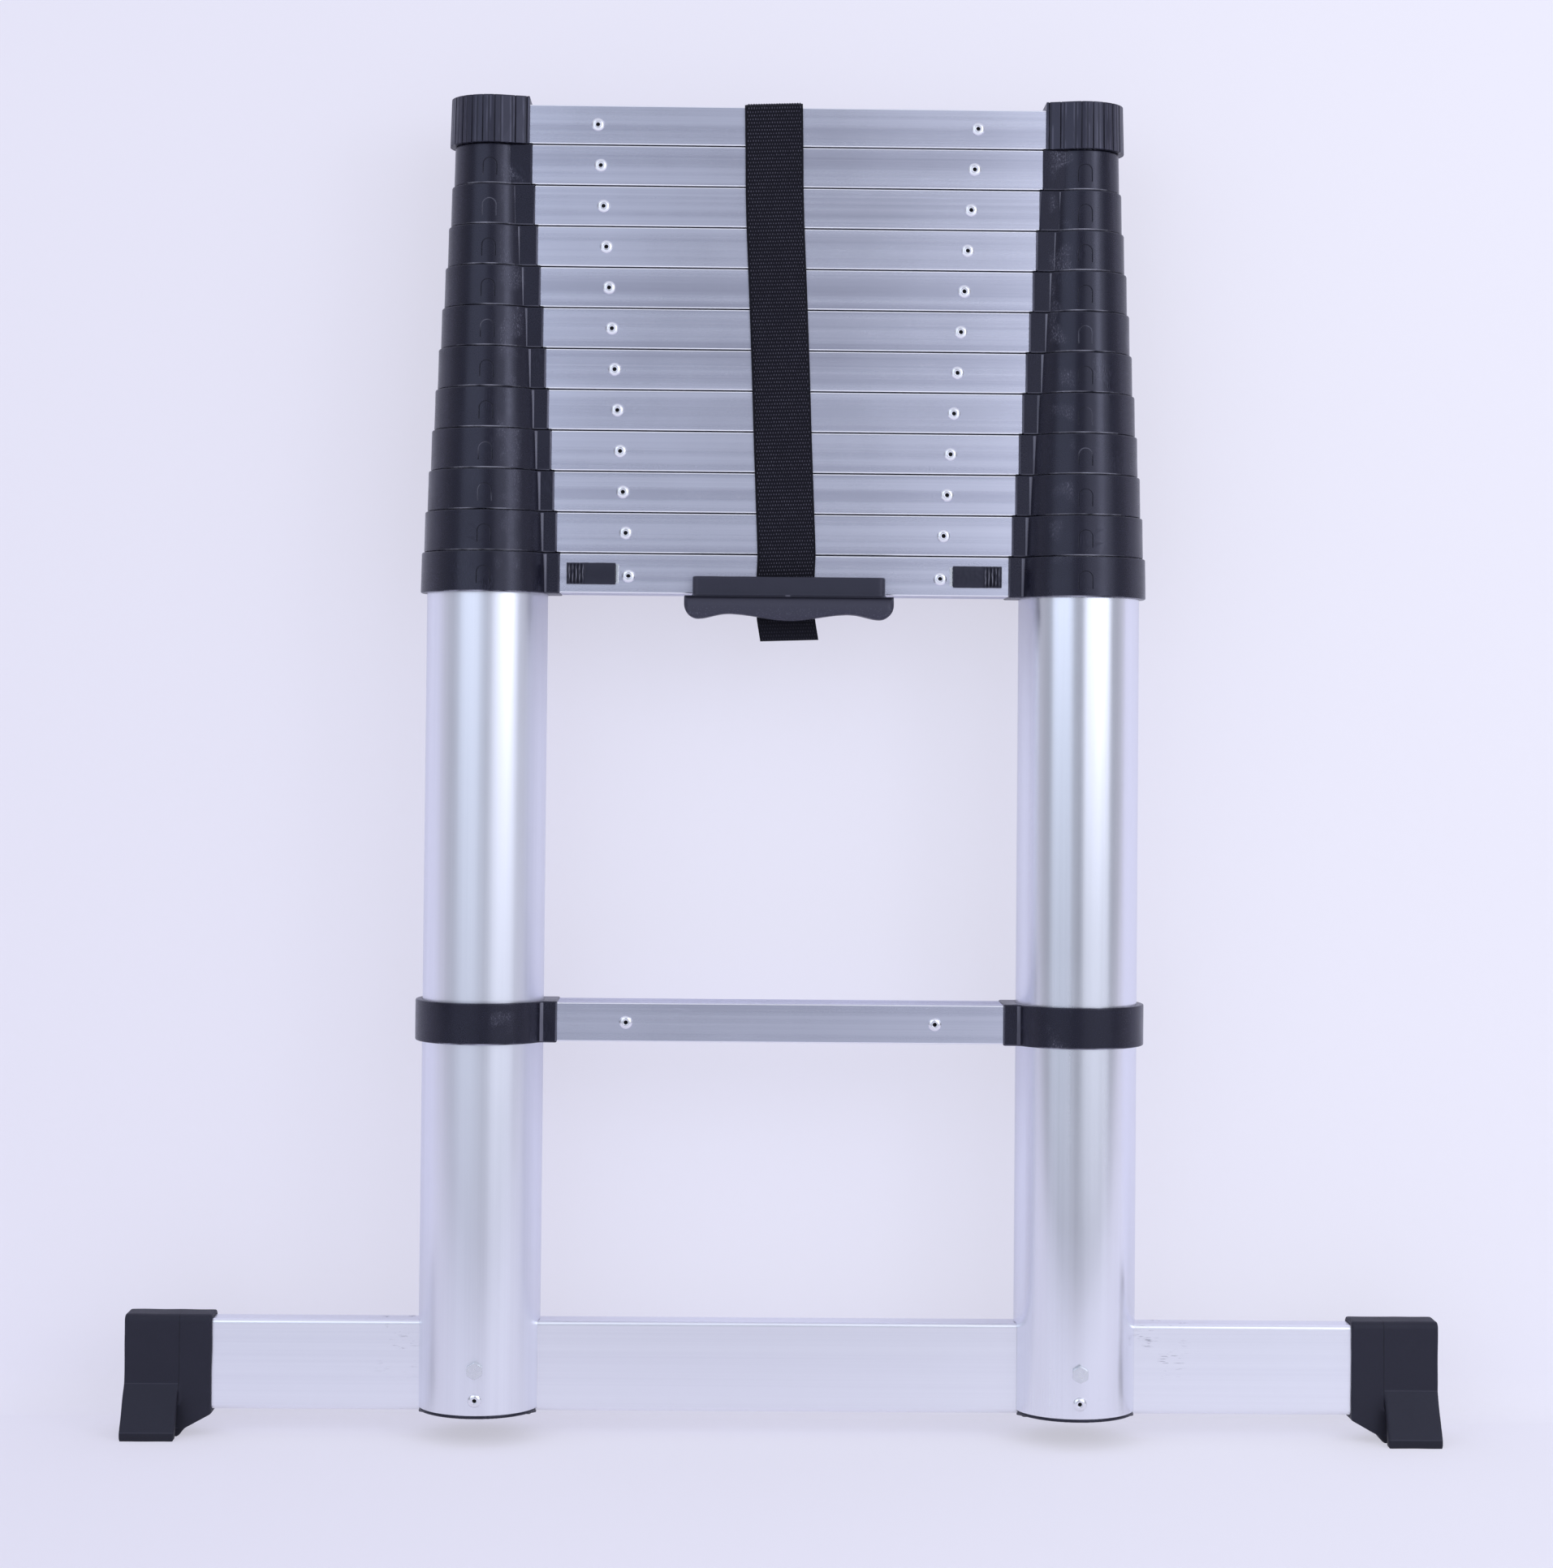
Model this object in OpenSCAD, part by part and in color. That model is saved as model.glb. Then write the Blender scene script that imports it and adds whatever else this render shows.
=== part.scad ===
// Telescopic extension ladder, closed and standing on its stabiliser bar.
// X runs along the rungs, Y from front to back, Z up from the floor under the rubber feet.

/* [Ladder] */
// Distance between the two stile axes
stile_spacing = 400; // [360:5:460]
// Height of the fixed middle rung's centre above the floor
mid_rung_z = 278.3; // [250:0.1:300]
// Rung spacing when a section is fully drawn out
rung_spacing = 300; // [285:1:300]
// Rung pitch of the closed stack, one collar on the next
stack_pitch = 27.5; // [26.5:0.1:28.5]
// Number of sliding sections above the base
section_count = 11; // [3:1:11]

/* [Tubes] */
// Outer diameter of the base tube
base_tube_d = 81.4; // [78:0.2:84]
// Wall of every tube
tube_wall = 1.4; // [1.2:0.05:1.6]
// Radial play between one tube and the next one inside it
tube_play = 0.55; // [0.45:0.05:0.65]
// Length of tube left below the lock hole of each sliding tube
tube_tail = 65; // [55:1:75]
// Height of the base tube's lower end above the floor
tube_foot_z = 20.3; // [18:0.1:23]

/* [Rungs] */
// Depth of a rung, front to back
rung_depth = 40; // [37:0.5:41]
// Height of a rung
rung_height = 26; // [24:0.1:26.2]
// Wall of the rung extrusion
rung_wall = 1.6; // [1.4:0.1:2]
// Outer corner radius of the rung extrusion
rung_round = 2.2; // [1.8:0.1:3]
// Width of one anti-slip groove in the tread
tread_groove = 1.2; // [0.8:0.1:1.6]
// Pitch of the anti-slip grooves
tread_pitch = 3.2; // [2.8:0.1:4]
// Depth of the anti-slip grooves
tread_groove_depth = 0.6; // [0.3:0.1:0.8]

/* [Collars] */
// Wall of a collar outside its tube
collar_wall = 4.4; // [3.8:0.1:5]
// Gap between one collar and the next in the closed stack
collar_gap = 0.3; // [0.2:0.05:0.5]
// Amount a collar narrows from its lower edge to its upper edge
collar_draft = 0.5; // [0.2:0.1:0.8]
// Reach of the base collar's rung block beyond its tube
block_reach = 8.7; // [8:0.1:10]
// Amount the block reach shortens from each level to the next
block_shortening = 0.18; // [0.1:0.02:0.2]
// How far the rung block stands proud of the rung, front and back
block_lip = 1.5; // [1:0.1:2]
// Chamfer on the vertical edges of the block beside the rung
block_chamfer = 1; // [0.6:0.1:1.4]
// Radius of the fillet between the round collar and its block
block_fillet = 4; // [3:0.5:5]
// Height of a collar's seat under the shoulder that holds its tube's end
collar_seat = 22; // [20:0.5:23]
// Length of the moulded tongue that fills the rung's end
tongue_length = 60; // [56:1:66]
// Clearance around the tongue inside the rung
tongue_play = 0.2; // [0.1:0.05:0.3]
// Width of the arched snap mark on the front of a collar
snap_width = 9.6; // [8:0.2:11]
// Height of the arched snap mark
snap_height = 12; // [9:0.5:14]
// Height of the snap mark's feet above the collar's lower edge
snap_lift = 5.5; // [4:0.5:8]
// Width and depth of the line that draws the snap mark
snap_line = 0.5; // [0.3:0.05:0.6]
// Height of the middle rung's clamp rings
clamp_height = 27.5; // [26.5:0.5:30]
// Extra wall of the middle rung's clamp rings over a collar's wall
clamp_extra = 0.3; // [0:0.1:0.8]
// Extra reach of a clamp ring's block over the base collar's block
clamp_reach_extra = 1.3; // [0.5:0.1:2]

/* [End caps] */
// Extra wall of a top end cap over a collar's wall
cap_extra = 5; // [4:0.1:6]
// Height of a cap above the top of its rung
cap_rise = 5.3; // [4:0.1:7]
// Amount a cap narrows from its lower edge to its upper edge
cap_draft = 0.8; // [0.4:0.1:1.2]
// Pitch of the finger ribs around a cap
cap_rib_pitch = 8; // [6:0.5:10]
// Width of the grooves between the ribs
cap_groove = 0.9; // [0.6:0.1:1.4]
// Depth of the grooves between the ribs
cap_groove_depth = 0.7; // [0.4:0.1:1]

/* [Guide bushes] */
// Height of a bush's rim below its tube
bush_rim = 6; // [4:0.5:8]
// Height of a bush's spigot inside its tube
bush_spigot = 11; // [8:0.5:12]
// Wall of the spigot
bush_wall = 2; // [1.5:0.1:2.5]
// Running play between a bush or shoulder and the tube it slides on
slide_play = 0.3; // [0.25:0.05:0.35]

/* [Locks and rivets] */
// Diameter of a lock pin
pin_d = 8; // [7:0.5:9]
// Radial clearance of a pin in its channel
pin_play = 0.15; // [0.1:0.05:0.25]
// Radial clearance of a pin in the lock hole of a tube
lock_hole_play = 0.4; // [0.3:0.05:0.6]
// Length of a lock pin
pin_length = 49; // [47:1:50]
// Distance a release button draws its pin back
button_travel = 4; // [3.6:0.1:4.2]
// Length of a release button's pad
button_length = 32.7; // [31:0.1:34]
// Height of a release button's pad
button_height = 14.4; // [13:0.1:16]
// Thickness of a release button's pad
button_thickness = 2.2; // [1.8:0.1:3]
// Distance from a button's outer end to the block beside it
button_inset = 4.7; // [4.6:0.1:5.4]
// Length of the button's neck in its slot
neck_length = 18; // [16:0.5:20]
// Play around the button's neck and under its pad
button_play = 0.3; // [0.2:0.05:0.4]
// Wire diameter of the lock springs
spring_wire = 1; // [0.8:0.1:1.2]
// Turns of a lock spring
spring_turns = 6; // [4:1:8]
// Distance of a rung rivet from the end of the visible rung
rivet_inset = 46; // [44:0.5:48]
// Diameter of a rivet head
rivet_head_d = 8.2; // [7:0.1:9]
// Height of a rivet head
rivet_head_h = 1.7; // [1.2:0.1:2.2]
// Diameter of a rivet shank
rivet_shank_d = 4.8; // [4:0.1:5]
// Diameter of the hole in a rivet head
rivet_hole_d = 2.8; // [2.2:0.1:3]
// Length of a rivet under its head
rivet_grip = 9; // [8:0.5:10]

/* [Stabiliser] */
// Overall length over both feet
overall_length = 879.5; // [800:0.5:900]
// Sideways place of the bar's centre
bar_shift = 4; // [-10:0.5:10]
// Height of the stabiliser bar
bar_height = 60; // [56:1:64]
// Depth of the stabiliser bar
bar_depth = 20; // [18:0.5:24]
// Wall of the stabiliser bar
bar_wall = 2; // [1.6:0.1:2.5]
// Outer corner radius of the stabiliser bar
bar_round = 3; // [2.5:0.1:3.5]
// Clearance of the bar in the slots of the base tubes
bar_play = 0.3; // [0.2:0.05:0.5]
// Drop of the bar's underside below the base tubes' lower ends
bar_drop = 2.5; // [2:0.1:4]
// Height of the bolt above the tube's lower end
bolt_lift = 30; // [28:0.5:34]
// Diameter of the bolt through tube and bar
bolt_d = 6; // [5:0.5:6.5]
// Width across the flats of the bolt head and nut
bolt_flats = 10; // [9:0.5:11]
// Height of the bolt head
bolt_head_h = 4; // [3:0.5:5]
// Height of the nut
nut_h = 5; // [4:0.5:6]
// Height of the plug rivet above the tube's lower end
plug_rivet_z = 10; // [9:0.5:11]
// Thickness of the plug's rim under the tube
plug_rim = 1.5; // [1:0.1:2]
// Thickness of the plug's saddle under the bar
plug_saddle = 1.3; // [1:0.1:2]
// Height of the plug's lugs inside the tube
plug_height = 22; // [20:0.5:23]

/* [Feet] */
// Length of a rubber foot along the bar
foot_length = 58.3; // [55:0.1:64]
// Length of the flared part of a foot
skirt_length = 36.5; // [34:0.5:42]
// Wall of a foot around the bar
foot_wall = 3; // [2.5:0.1:3.5]
// Reach of the flared sole from the ladder's middle plane
sole_reach = 30; // [28:0.5:36]
// Height of the sole's vertical edge
sole_edge = 5.2; // [4:0.1:7]
// Height where the flare leaves the foot's upright wall
flare_z = 34.8; // [32:0.1:38]
// Thickness of the flare
flare_wall = 7.5; // [6.5:0.5:8.5]
// Width of the grooves in the sole
sole_groove = 2; // [1.5:0.1:2.5]
// Depth of the grooves in the sole
sole_groove_depth = 1.2; // [0.8:0.1:1.6]

/* [Strap and handle] */
// Width of the carrying strap
strap_width = 38; // [32:1:44]
// Thickness of the carrying strap
strap_thick = 1.6; // [1.2:0.1:2]
// Clearance between the strap and the rungs
strap_play = 1.2; // [1:0.1:1.5]
// Lean of the strap from the vertical
strap_lean = 2; // [0:0.5:3]
// Sideways place of the strap's centre
strap_shift = -4; // [-20:1:20]
// Length of the strap's loose tail below the base rung
strap_tail = 31; // [24:1:36]
// Width of the handle's upper part
handle_width = 128.8; // [120:0.5:140]
// Width of the handle's grip
grip_width = 140; // [130:1:150]
// Height of the handle's upper part
handle_height = 13; // [11:0.5:16]
// Height of the grip at its middle
grip_height = 16.4; // [14:0.2:18]
// Depth of the upper part, front to back
handle_depth = 11; // [9:0.5:13]
// Depth of the grip, front to back
grip_depth = 17; // [15:0.5:20]
// Radius of the handle's upright edges in front
handle_round = 4.5; // [3:0.5:6]
// Radius of the grip's lower corners
grip_round = 10; // [8:0.5:12]
// Wall of the handle's shell
handle_wall = 3; // [2.5:0.1:3.5]
// Depth of the wave along the grip's lower edge
grip_wave = 4.4; // [2:0.2:5]
// Thickness of the keeper bar behind the strap
keeper_thick = 3; // [2.5:0.1:3.5]
// Height of the keeper bar
keeper_height = 7; // [5:0.5:8]
// Sideways place of the handle's centre
handle_shift = 3; // [-20:1:20]
// Height of the handle's top above the underside of the base rung
handle_top = 11.4; // [8:0.2:14]

/* [Hidden] */
$fn = 64;
eps = 0.01;
through = 200;
sides = [-1, 1];
levels = [1:section_count];
base_rung_z = mid_rung_z + rung_spacing;
tube_step = tube_wall + tube_play;
collar_height = stack_pitch - collar_gap;
base_tube_r = base_tube_d / 2;
pin_r = pin_d / 2;
bar_low = tube_foot_z - bar_drop;
bar_z = bar_low + bar_height / 2;
bolt_z = tube_foot_z + bolt_lift;
bar_length = overall_length - 2 * foot_wall;
rivet_r = rivet_shank_d / 2;
// The strap loop's inner height runs from under the base rung to over the top rung.
strap_low = base_rung_z - rung_height / 2 - strap_play;
strap_high = rung_z(section_count) + rung_height / 2 + strap_play;
handle_low = base_rung_z - rung_height / 2 + handle_top - handle_height;

// Every size below depends on the level: 0 is the base, section_count the top section.
function tube_r(level) = base_tube_r - level * tube_step;
function bore_r(level) = tube_r(level) - tube_wall;
function collar_r(level) = tube_r(level) + collar_wall;
function rung_z(level) = base_rung_z + level * stack_pitch;
function block_end(level) = tube_r(level) + block_reach - level * block_shortening;
function rivet_x(level) = block_end(level) + rivet_inset;
function collar_low(level) = rung_z(level) - collar_height / 2;
function tube_top(level) = collar_low(level) + collar_seat;
function lock_hole_z(level) = rung_z(level - 1) - (rung_spacing - stack_pitch);
function tube_low(level) = level == 0 ? tube_foot_z : lock_hole_z(level) - tube_tail;
function section_node(level, piece) = str("section_", level, "_", piece);

SECTION_PIECES = ["tubes", "collars", "rung", "pins_rivets"];
BASE_NODES = ["base_tubes", "base_collars", "base_rung", "mid_rung", "mid_clamps", "base_fasteners",
    "stabiliser_bar", "feet", "tube_plugs", "lock_springs", "button_left", "button_right",
    "pin_left", "pin_right", "strap", "handle"];
SECTION_NODES = [for (level = levels) for (piece = SECTION_PIECES) section_node(level, piece)];

// ---- Shared shapes ----

// Places a shape drawn for a stile at the origin, with the rungs on its +X side.
module at_stile(side) {
    translate([side * stile_spacing / 2, 0, 0])
        mirror([side > 0 ? 1 : 0, 0, 0])
            children();
}

module at_stiles() {
    for (side = sides)
        at_stile(side) children();
}

// Turns an outline drawn in Y and Z into a bar along +X.
module along_x(length) {
    rotate([90, 0, 90])
        linear_extrude(length) children();
}

// Turns an outline drawn in X and Z into a plate along +Y.
module along_y(length) {
    translate([0, length, 0])
        rotate([90, 0, 0])
            linear_extrude(length) children();
}

module rod_x(r, length) {
    rotate([0, 90, 0]) cylinder(r = r, h = length);
}

module rod_y(r, length) {
    rotate([-90, 0, 0]) cylinder(r = r, h = length);
}

module rounded_rect(w, h, r) {
    square([w - 2 * r, h], center = true);
    square([w, h - 2 * r], center = true);
    for (x = [-1, 1], y = [-1, 1])
        translate([x * (w / 2 - r), y * (h / 2 - r)]) circle(r);
}

// ---- Tubes ----

module tube(level) {
    low = tube_low(level);
    difference() {
        translate([0, 0, low])
            cylinder(r = tube_r(level), h = tube_top(level) - low);
        translate([0, 0, low - eps])
            cylinder(r = bore_r(level), h = tube_top(level) - low + 2 * eps);
        // The hole that this level's lock pin reaches through, beside the rung
        if (level < section_count)
            translate([0, 0, rung_z(level)])
                rod_x(pin_r + lock_hole_play, tube_r(level) + eps);
        // The hole that the pin of the level below drops into when drawn out
        if (level > 0)
            translate([0, 0, lock_hole_z(level)])
                rod_x(pin_r + lock_hole_play, tube_r(level) + eps);
        if (level == 0)
            base_tube_cuts();
    }
}

// Slot for the stabiliser bar, and the holes for its bolt and the plug's rivet.
// The room of the stabiliser bar through a base tube, open at the bottom.
module bar_slot() {
    width = bar_depth + 2 * bar_play;
    translate([-base_tube_r - eps, 0, bar_z])
        along_x(base_tube_d + 2 * eps) rounded_rect(width, bar_height + 2 * bar_play, bar_round + bar_play);
    translate([-base_tube_r - eps, -width / 2, bar_low - bar_play])
        cube([base_tube_d + 2 * eps, width, bar_height / 2]);
}

module base_tube_cuts() {
    bar_slot();
    translate([0, -base_tube_r - eps, bolt_z])
        rod_y(bolt_d / 2 + pin_play, base_tube_d + 2 * eps);
    translate([0, -base_tube_r - eps, tube_foot_z + plug_rivet_z])
        rod_y(rivet_r, base_tube_r);
}

module base_tubes() {
    color("gainsboro") at_stiles() tube(0);
}

module section_tubes(level) {
    color("gainsboro") at_stiles() tube(level);
}

// ---- Collars ----

// The block that carries the rung, with chamfered edges beside the rung.
module collar_block(reach, height) {
    half = rung_depth / 2 + block_lip;
    linear_extrude(height)
        polygon([[0, -half], [reach - block_chamfer, -half], [reach, -half + block_chamfer],
            [reach, half - block_chamfer], [reach - block_chamfer, half], [0, half]]);
}

// Fills the inside corner between a round collar and the flat of its block.
module collar_fillet(r, reach, height) {
    half = rung_depth / 2 + block_lip;
    fillet = min(block_fillet, reach - sqrt(max(0, r * r - half * half)) - block_chamfer);
    // The fillet bites a little into the round, so that the two meet at a crisp line.
    bite = 0.15;
    centre_x = sqrt(max(0, pow(r + fillet - bite, 2) - pow(half + fillet, 2)));
    if (r > half)
        for (y = [-1, 1])
            difference() {
                linear_extrude(height)
                    polygon([[0, 0], [centre_x, y * (half + fillet)] * r / (r + fillet),
                        [centre_x, y * half], [centre_x, 0]]);
                translate([centre_x, y * (half + fillet), -eps])
                    cylinder(r = fillet, h = height + 2 * eps);
            }
}

// The arched line of the snap that locks a collar on its tube.
module snap_mark(r) {
    straight = snap_height - snap_width / 2;
    difference() {
        translate([0, -through / 2, 0])
            along_y(through / 2) difference() {
                snap_arch(snap_width / 2, straight);
                snap_arch(snap_width / 2 - snap_line, straight);
            }
        translate([0, 0, -snap_height])
            cylinder(r = r - snap_line, h = 3 * snap_height);
    }
}

module snap_arch(r, straight) {
    translate([0, straight]) circle(r);
    translate([-r, 0]) square([2 * r, straight]);
}

// The tongue that fills the rung's end, with the lock pin's channel left to its maker.
module tongue(reach) {
    w = rung_depth - 2 * (rung_wall + tongue_play);
    h = rung_height - 2 * (rung_wall + tongue_play);
    translate([reach - eps, 0, 0])
        along_x(tongue_length + eps) rounded_rect(w, h, rung_round / 2);
}

module rivet_hole(level_x) {
    translate([level_x, -rung_depth / 2 - eps, 0]) rod_y(rivet_r, rivet_grip + eps);
}

module collar(level) {
    difference() {
        union() {
            translate([0, 0, collar_low(level)]) {
                cylinder(r1 = collar_r(level), r2 = collar_r(level) - collar_draft, h = collar_height);
                collar_block(block_end(level), collar_height);
                collar_fillet(collar_r(level) - collar_draft, block_end(level), collar_height);
            }
            translate([0, 0, rung_z(level)]) tongue(block_end(level));
        }
        translate([0, 0, collar_low(level) - eps])
            cylinder(r = tube_r(level), h = collar_seat + eps);
        translate([0, 0, tube_top(level) - eps])
            cylinder(r = tube_r(level + 1) + slide_play, h = collar_height);
        translate([0, 0, collar_low(level) + snap_lift])
            snap_mark(collar_r(level) - collar_draft / 2);
        translate([0, 0, rung_z(level)]) {
            rod_x(pin_r + pin_play, block_end(level) + tongue_length - rung_wall);
            rivet_hole(rivet_x(level));
            if (level == 0)
                button_room();
        }
    }
}

// Room in the base tongue for the neck of a release button and its travel.
module button_room() {
    length = neck_length + button_travel + 2 * button_play;
    height = neck_height() + 2 * button_play;
    translate([neck_x() - button_play, -rung_depth / 2, -height / 2])
        cube([length, rung_depth / 2 + pin_r + rung_wall + button_play, height]);
}

// A bush under the lower end of a sliding tube, which guides it in the tube outside it.
module guide_bush(level) {
    difference() {
        union() {
            translate([0, 0, tube_low(level) - bush_rim])
                cylinder(r = bore_r(level - 1) - slide_play, h = bush_rim);
            translate([0, 0, tube_low(level) - eps])
                cylinder(r = bore_r(level), h = bush_spigot);
        }
        translate([0, 0, tube_low(level) - bush_rim / 2])
            cylinder(r = bore_r(level) - bush_wall, h = bush_rim + bush_spigot);
    }
}

// The ribbed cap that closes the top tube and carries the top rung.
module end_cap() {
    level = section_count;
    r = collar_r(level) + cap_extra;
    height = collar_height / 2 + rung_height / 2 + cap_rise;
    difference() {
        translate([0, 0, collar_low(level)]) difference() {
            hull() {
                // The round stops short of the block's end, where the rung begins.
                intersection() {
                    cylinder(r1 = r, r2 = r - cap_draft, h = height, $fn = 48);
                    translate([-2 * r, -2 * r, -eps])
                        cube([2 * r + block_end(level) - block_chamfer, 4 * r, height + 2 * eps]);
                }
                translate([block_end(level) - block_chamfer, -rung_depth / 2 - block_lip, 0])
                    cube([block_chamfer, rung_depth + 2 * block_lip, height]);
            }
            cap_grooves(r, height);
        }
        translate([0, 0, collar_low(level) - eps])
            cylinder(r = tube_r(level), h = collar_seat + eps);
    }
    translate([0, 0, rung_z(level)]) difference() {
        tongue(block_end(level));
        rivet_hole(rivet_x(level));
    }
}

// Upright grooves between the finger ribs, along the round outside and the two flanks.
module cap_grooves(r, height) {
    turn = cap_rib_pitch / r * 180 / PI;
    end = [block_end(section_count), rung_depth / 2 + block_lip];
    // The flank leaves the round where its tangent passes through the block's corner.
    leave = atan2(end[1], end[0]) + acos(min(1, r / norm(end)));
    for (i = [0:floor((180 - leave) / turn)], y = [-1, 1])
        rotate([0, 0, y * (180 - i * turn)]) cap_groove_at(r, height);
    for (i = [1:floor(sqrt(max(0, end * end - r * r)) / cap_rib_pitch)], y = [-1, 1])
        rotate([0, 0, y * leave])
            translate([0, -y * i * cap_rib_pitch, 0]) cap_groove_at(r, height);
}

module cap_groove_at(r, height) {
    translate([r - cap_draft - cap_groove_depth, -cap_groove / 2, -eps])
        cube([cap_draft + 2 * cap_groove_depth, cap_groove, height + 2 * eps]);
}

module base_collars() {
    color("darkslategray") at_stiles() collar(0);
}

module section_collars(level) {
    color("darkslategray") at_stiles() {
        if (level == section_count)
            end_cap();
        else
            collar(level);
        guide_bush(level);
    }
}

// ---- Rungs ----

module rung_outline() {
    inner_w = rung_depth - 2 * rung_wall;
    inner_h = rung_height - 2 * rung_wall;
    groove_count = floor((inner_w - 2 * rung_round) / 2 / tread_pitch);
    difference() {
        rounded_rect(rung_depth, rung_height, rung_round);
        rounded_rect(inner_w, inner_h, rung_round / 2);
        for (i = [-groove_count:groove_count])
            translate([i * tread_pitch - tread_groove / 2, rung_height / 2 - tread_groove_depth])
                square([tread_groove, rung_wall]);
    }
}

// A rung between its two blocks: reach is the block's end, measured from the stile's axis.
module rung(reach) {
    length = stile_spacing - 2 * reach;
    difference() {
        translate([-length / 2, 0, 0]) along_x(length) rung_outline();
        at_stiles() rivet_hole(reach + rivet_inset);
    }
}

module section_rung(level) {
    color("lightsteelblue") translate([0, 0, rung_z(level)]) rung(block_end(level));
}

module base_rung() {
    color("lightsteelblue") translate([0, 0, base_rung_z]) difference() {
        rung(block_end(0));
        at_stiles() {
            length = neck_length + button_travel + 2 * button_play;
            height = neck_height() + 2 * button_play;
            translate([neck_x() - button_play, -rung_depth / 2 - eps, -height / 2])
                cube([length, rung_wall + 2 * eps, height]);
        }
    }
}

function clamp_reach() = block_end(0) + clamp_reach_extra;

module mid_rung() {
    color("lightsteelblue") translate([0, 0, mid_rung_z]) rung(clamp_reach());
}

// ---- Middle rung clamps ----

module mid_clamps() {
    r = collar_r(0) + clamp_extra;
    color("darkslategray") translate([0, 0, mid_rung_z]) at_stiles() difference() {
        union() {
            translate([0, 0, -clamp_height / 2]) {
                cylinder(r = r, h = clamp_height);
                collar_block(clamp_reach(), clamp_height);
                collar_fillet(r, clamp_reach(), clamp_height);
            }
            tongue(clamp_reach());
        }
        translate([0, 0, -clamp_height])
            cylinder(r = base_tube_r, h = 2 * clamp_height);
        rivet_hole(clamp_reach() + rivet_inset);
    }
}

// ---- Locks and fasteners ----

// A blind rivet with its head towards -Y, its head's seat at the origin.
module rivet() {
    sphere_r = (pow(rivet_head_d / 2, 2) + pow(rivet_head_h, 2)) / (2 * rivet_head_h);
    difference() {
        union() {
            intersection() {
                translate([0, sphere_r - rivet_head_h, 0]) sphere(sphere_r);
                translate([0, -rivet_head_h, 0]) rod_y(rivet_head_d / 2, rivet_head_h);
            }
            translate([0, -eps, 0]) rod_y(rivet_r, rivet_grip);
        }
        translate([0, -rivet_head_h - eps, 0])
            rod_y(rivet_hole_d / 2, rivet_head_h + rung_wall);
    }
}

module rung_rivet(reach) {
    translate([reach + rivet_inset, -rung_depth / 2, 0]) rivet();
}

// A lock pin at rest, its tip just clear of the tube that slides inside.
module lock_pin(level) {
    tip_round = 1;
    translate([tube_r(level + 1) + slide_play, 0, rung_z(level)]) {
        translate([tip_round, 0, 0]) rod_x(pin_r, pin_length - tip_round);
        rotate([0, 90, 0]) cylinder(r1 = pin_r - tip_round, r2 = pin_r, h = tip_round + eps);
    }
}

module section_pins_rivets(level) {
    color("silver") at_stiles() {
        translate([0, 0, rung_z(level)]) rung_rivet(block_end(level));
        if (level < section_count)
            lock_pin(level);
    }
}

module pin_left() {
    color("silver") at_stile(-1) lock_pin(0);
}

module pin_right() {
    color("silver") at_stile(1) lock_pin(0);
}

function pin_tail_x() = tube_r(1) + slide_play + pin_length;
function channel_end_x() = block_end(0) + tongue_length - rung_wall;

// A coil spring behind each base lock pin, swept as a six-sided wire along a helix.
module lock_springs() {
    length = channel_end_x() - pin_tail_x() - spring_wire;
    coil_r = pin_r - spring_wire;
    steps = spring_turns * 10;
    wire_sides = 6;
    points = [for (i = [0:steps]) for (j = [0:wire_sides - 1])
        let (a = 360 * spring_turns * i / steps, b = 360 * j / wire_sides,
            rr = coil_r + spring_wire / 2 * cos(b))
        [spring_wire / 2 + length * i / steps + spring_wire / 2 * sin(b), rr * cos(a), rr * sin(a)]];
    last = steps * wire_sides;
    faces = concat([[for (j = [wire_sides - 1:-1:0]) j]], [[for (j = [0:wire_sides - 1]) last + j]],
        [for (i = [0:steps - 1]) for (j = [0:wire_sides - 1])
            let (a = i * wire_sides + j, b = i * wire_sides + (j + 1) % wire_sides)
            [a, b, b + wire_sides, a + wire_sides]]);
    color("silver") at_stiles()
        translate([pin_tail_x(), 0, base_rung_z]) polyhedron(points, faces);
}

function neck_height() = button_height - 3;
function button_x() = block_end(0) + button_inset;
function neck_x() = button_x() + 3;

// A release button: a ribbed pad on the rung, and a neck that grips the pin inside it.
module release_button() {
    ridge = 1.2;
    ridge_pitch = 2.9;
    pad_y = -rung_depth / 2 - button_play - button_thickness;
    neck_depth = rung_depth / 2 + button_play + pin_r + rung_wall;
    difference() {
        union() {
            translate([button_x(), pad_y, -button_height / 2])
                cube([button_length, button_thickness, button_height]);
            for (i = [0:3])
                translate([button_x() + i * ridge_pitch, pad_y - ridge / 2, -button_height / 2])
                    cube([ridge, ridge, button_height]);
            translate([neck_x(), -rung_depth / 2 - button_play - eps, -neck_height() / 2])
                cube([neck_length, neck_depth + eps, neck_height()]);
        }
        translate([button_x() - eps, 0, 0]) rod_x(pin_r, button_length);
    }
}

module button_left() {
    color("black") translate([0, 0, base_rung_z]) at_stile(-1) release_button();
}

module button_right() {
    color("black") translate([0, 0, base_rung_z]) at_stile(1) release_button();
}

// The bolt through a base tube and the stabiliser bar, with its nut at the back.
module bar_bolt() {
    hex_r = bolt_flats / sqrt(3);
    translate([0, -base_tube_r - bolt_head_h, 0])
        rotate([-90, 90, 0]) cylinder(r = hex_r, h = bolt_head_h, $fn = 6);
    translate([0, -base_tube_r - eps, 0])
        rod_y(bolt_d / 2, base_tube_d + nut_h + bolt_d / 4);
    translate([0, base_tube_r, 0]) difference() {
        rotate([-90, 90, 0]) cylinder(r = hex_r, h = nut_h, $fn = 6);
        translate([0, -eps, 0]) rod_y(bolt_d / 2, nut_h + 2 * eps);
    }
}

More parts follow.
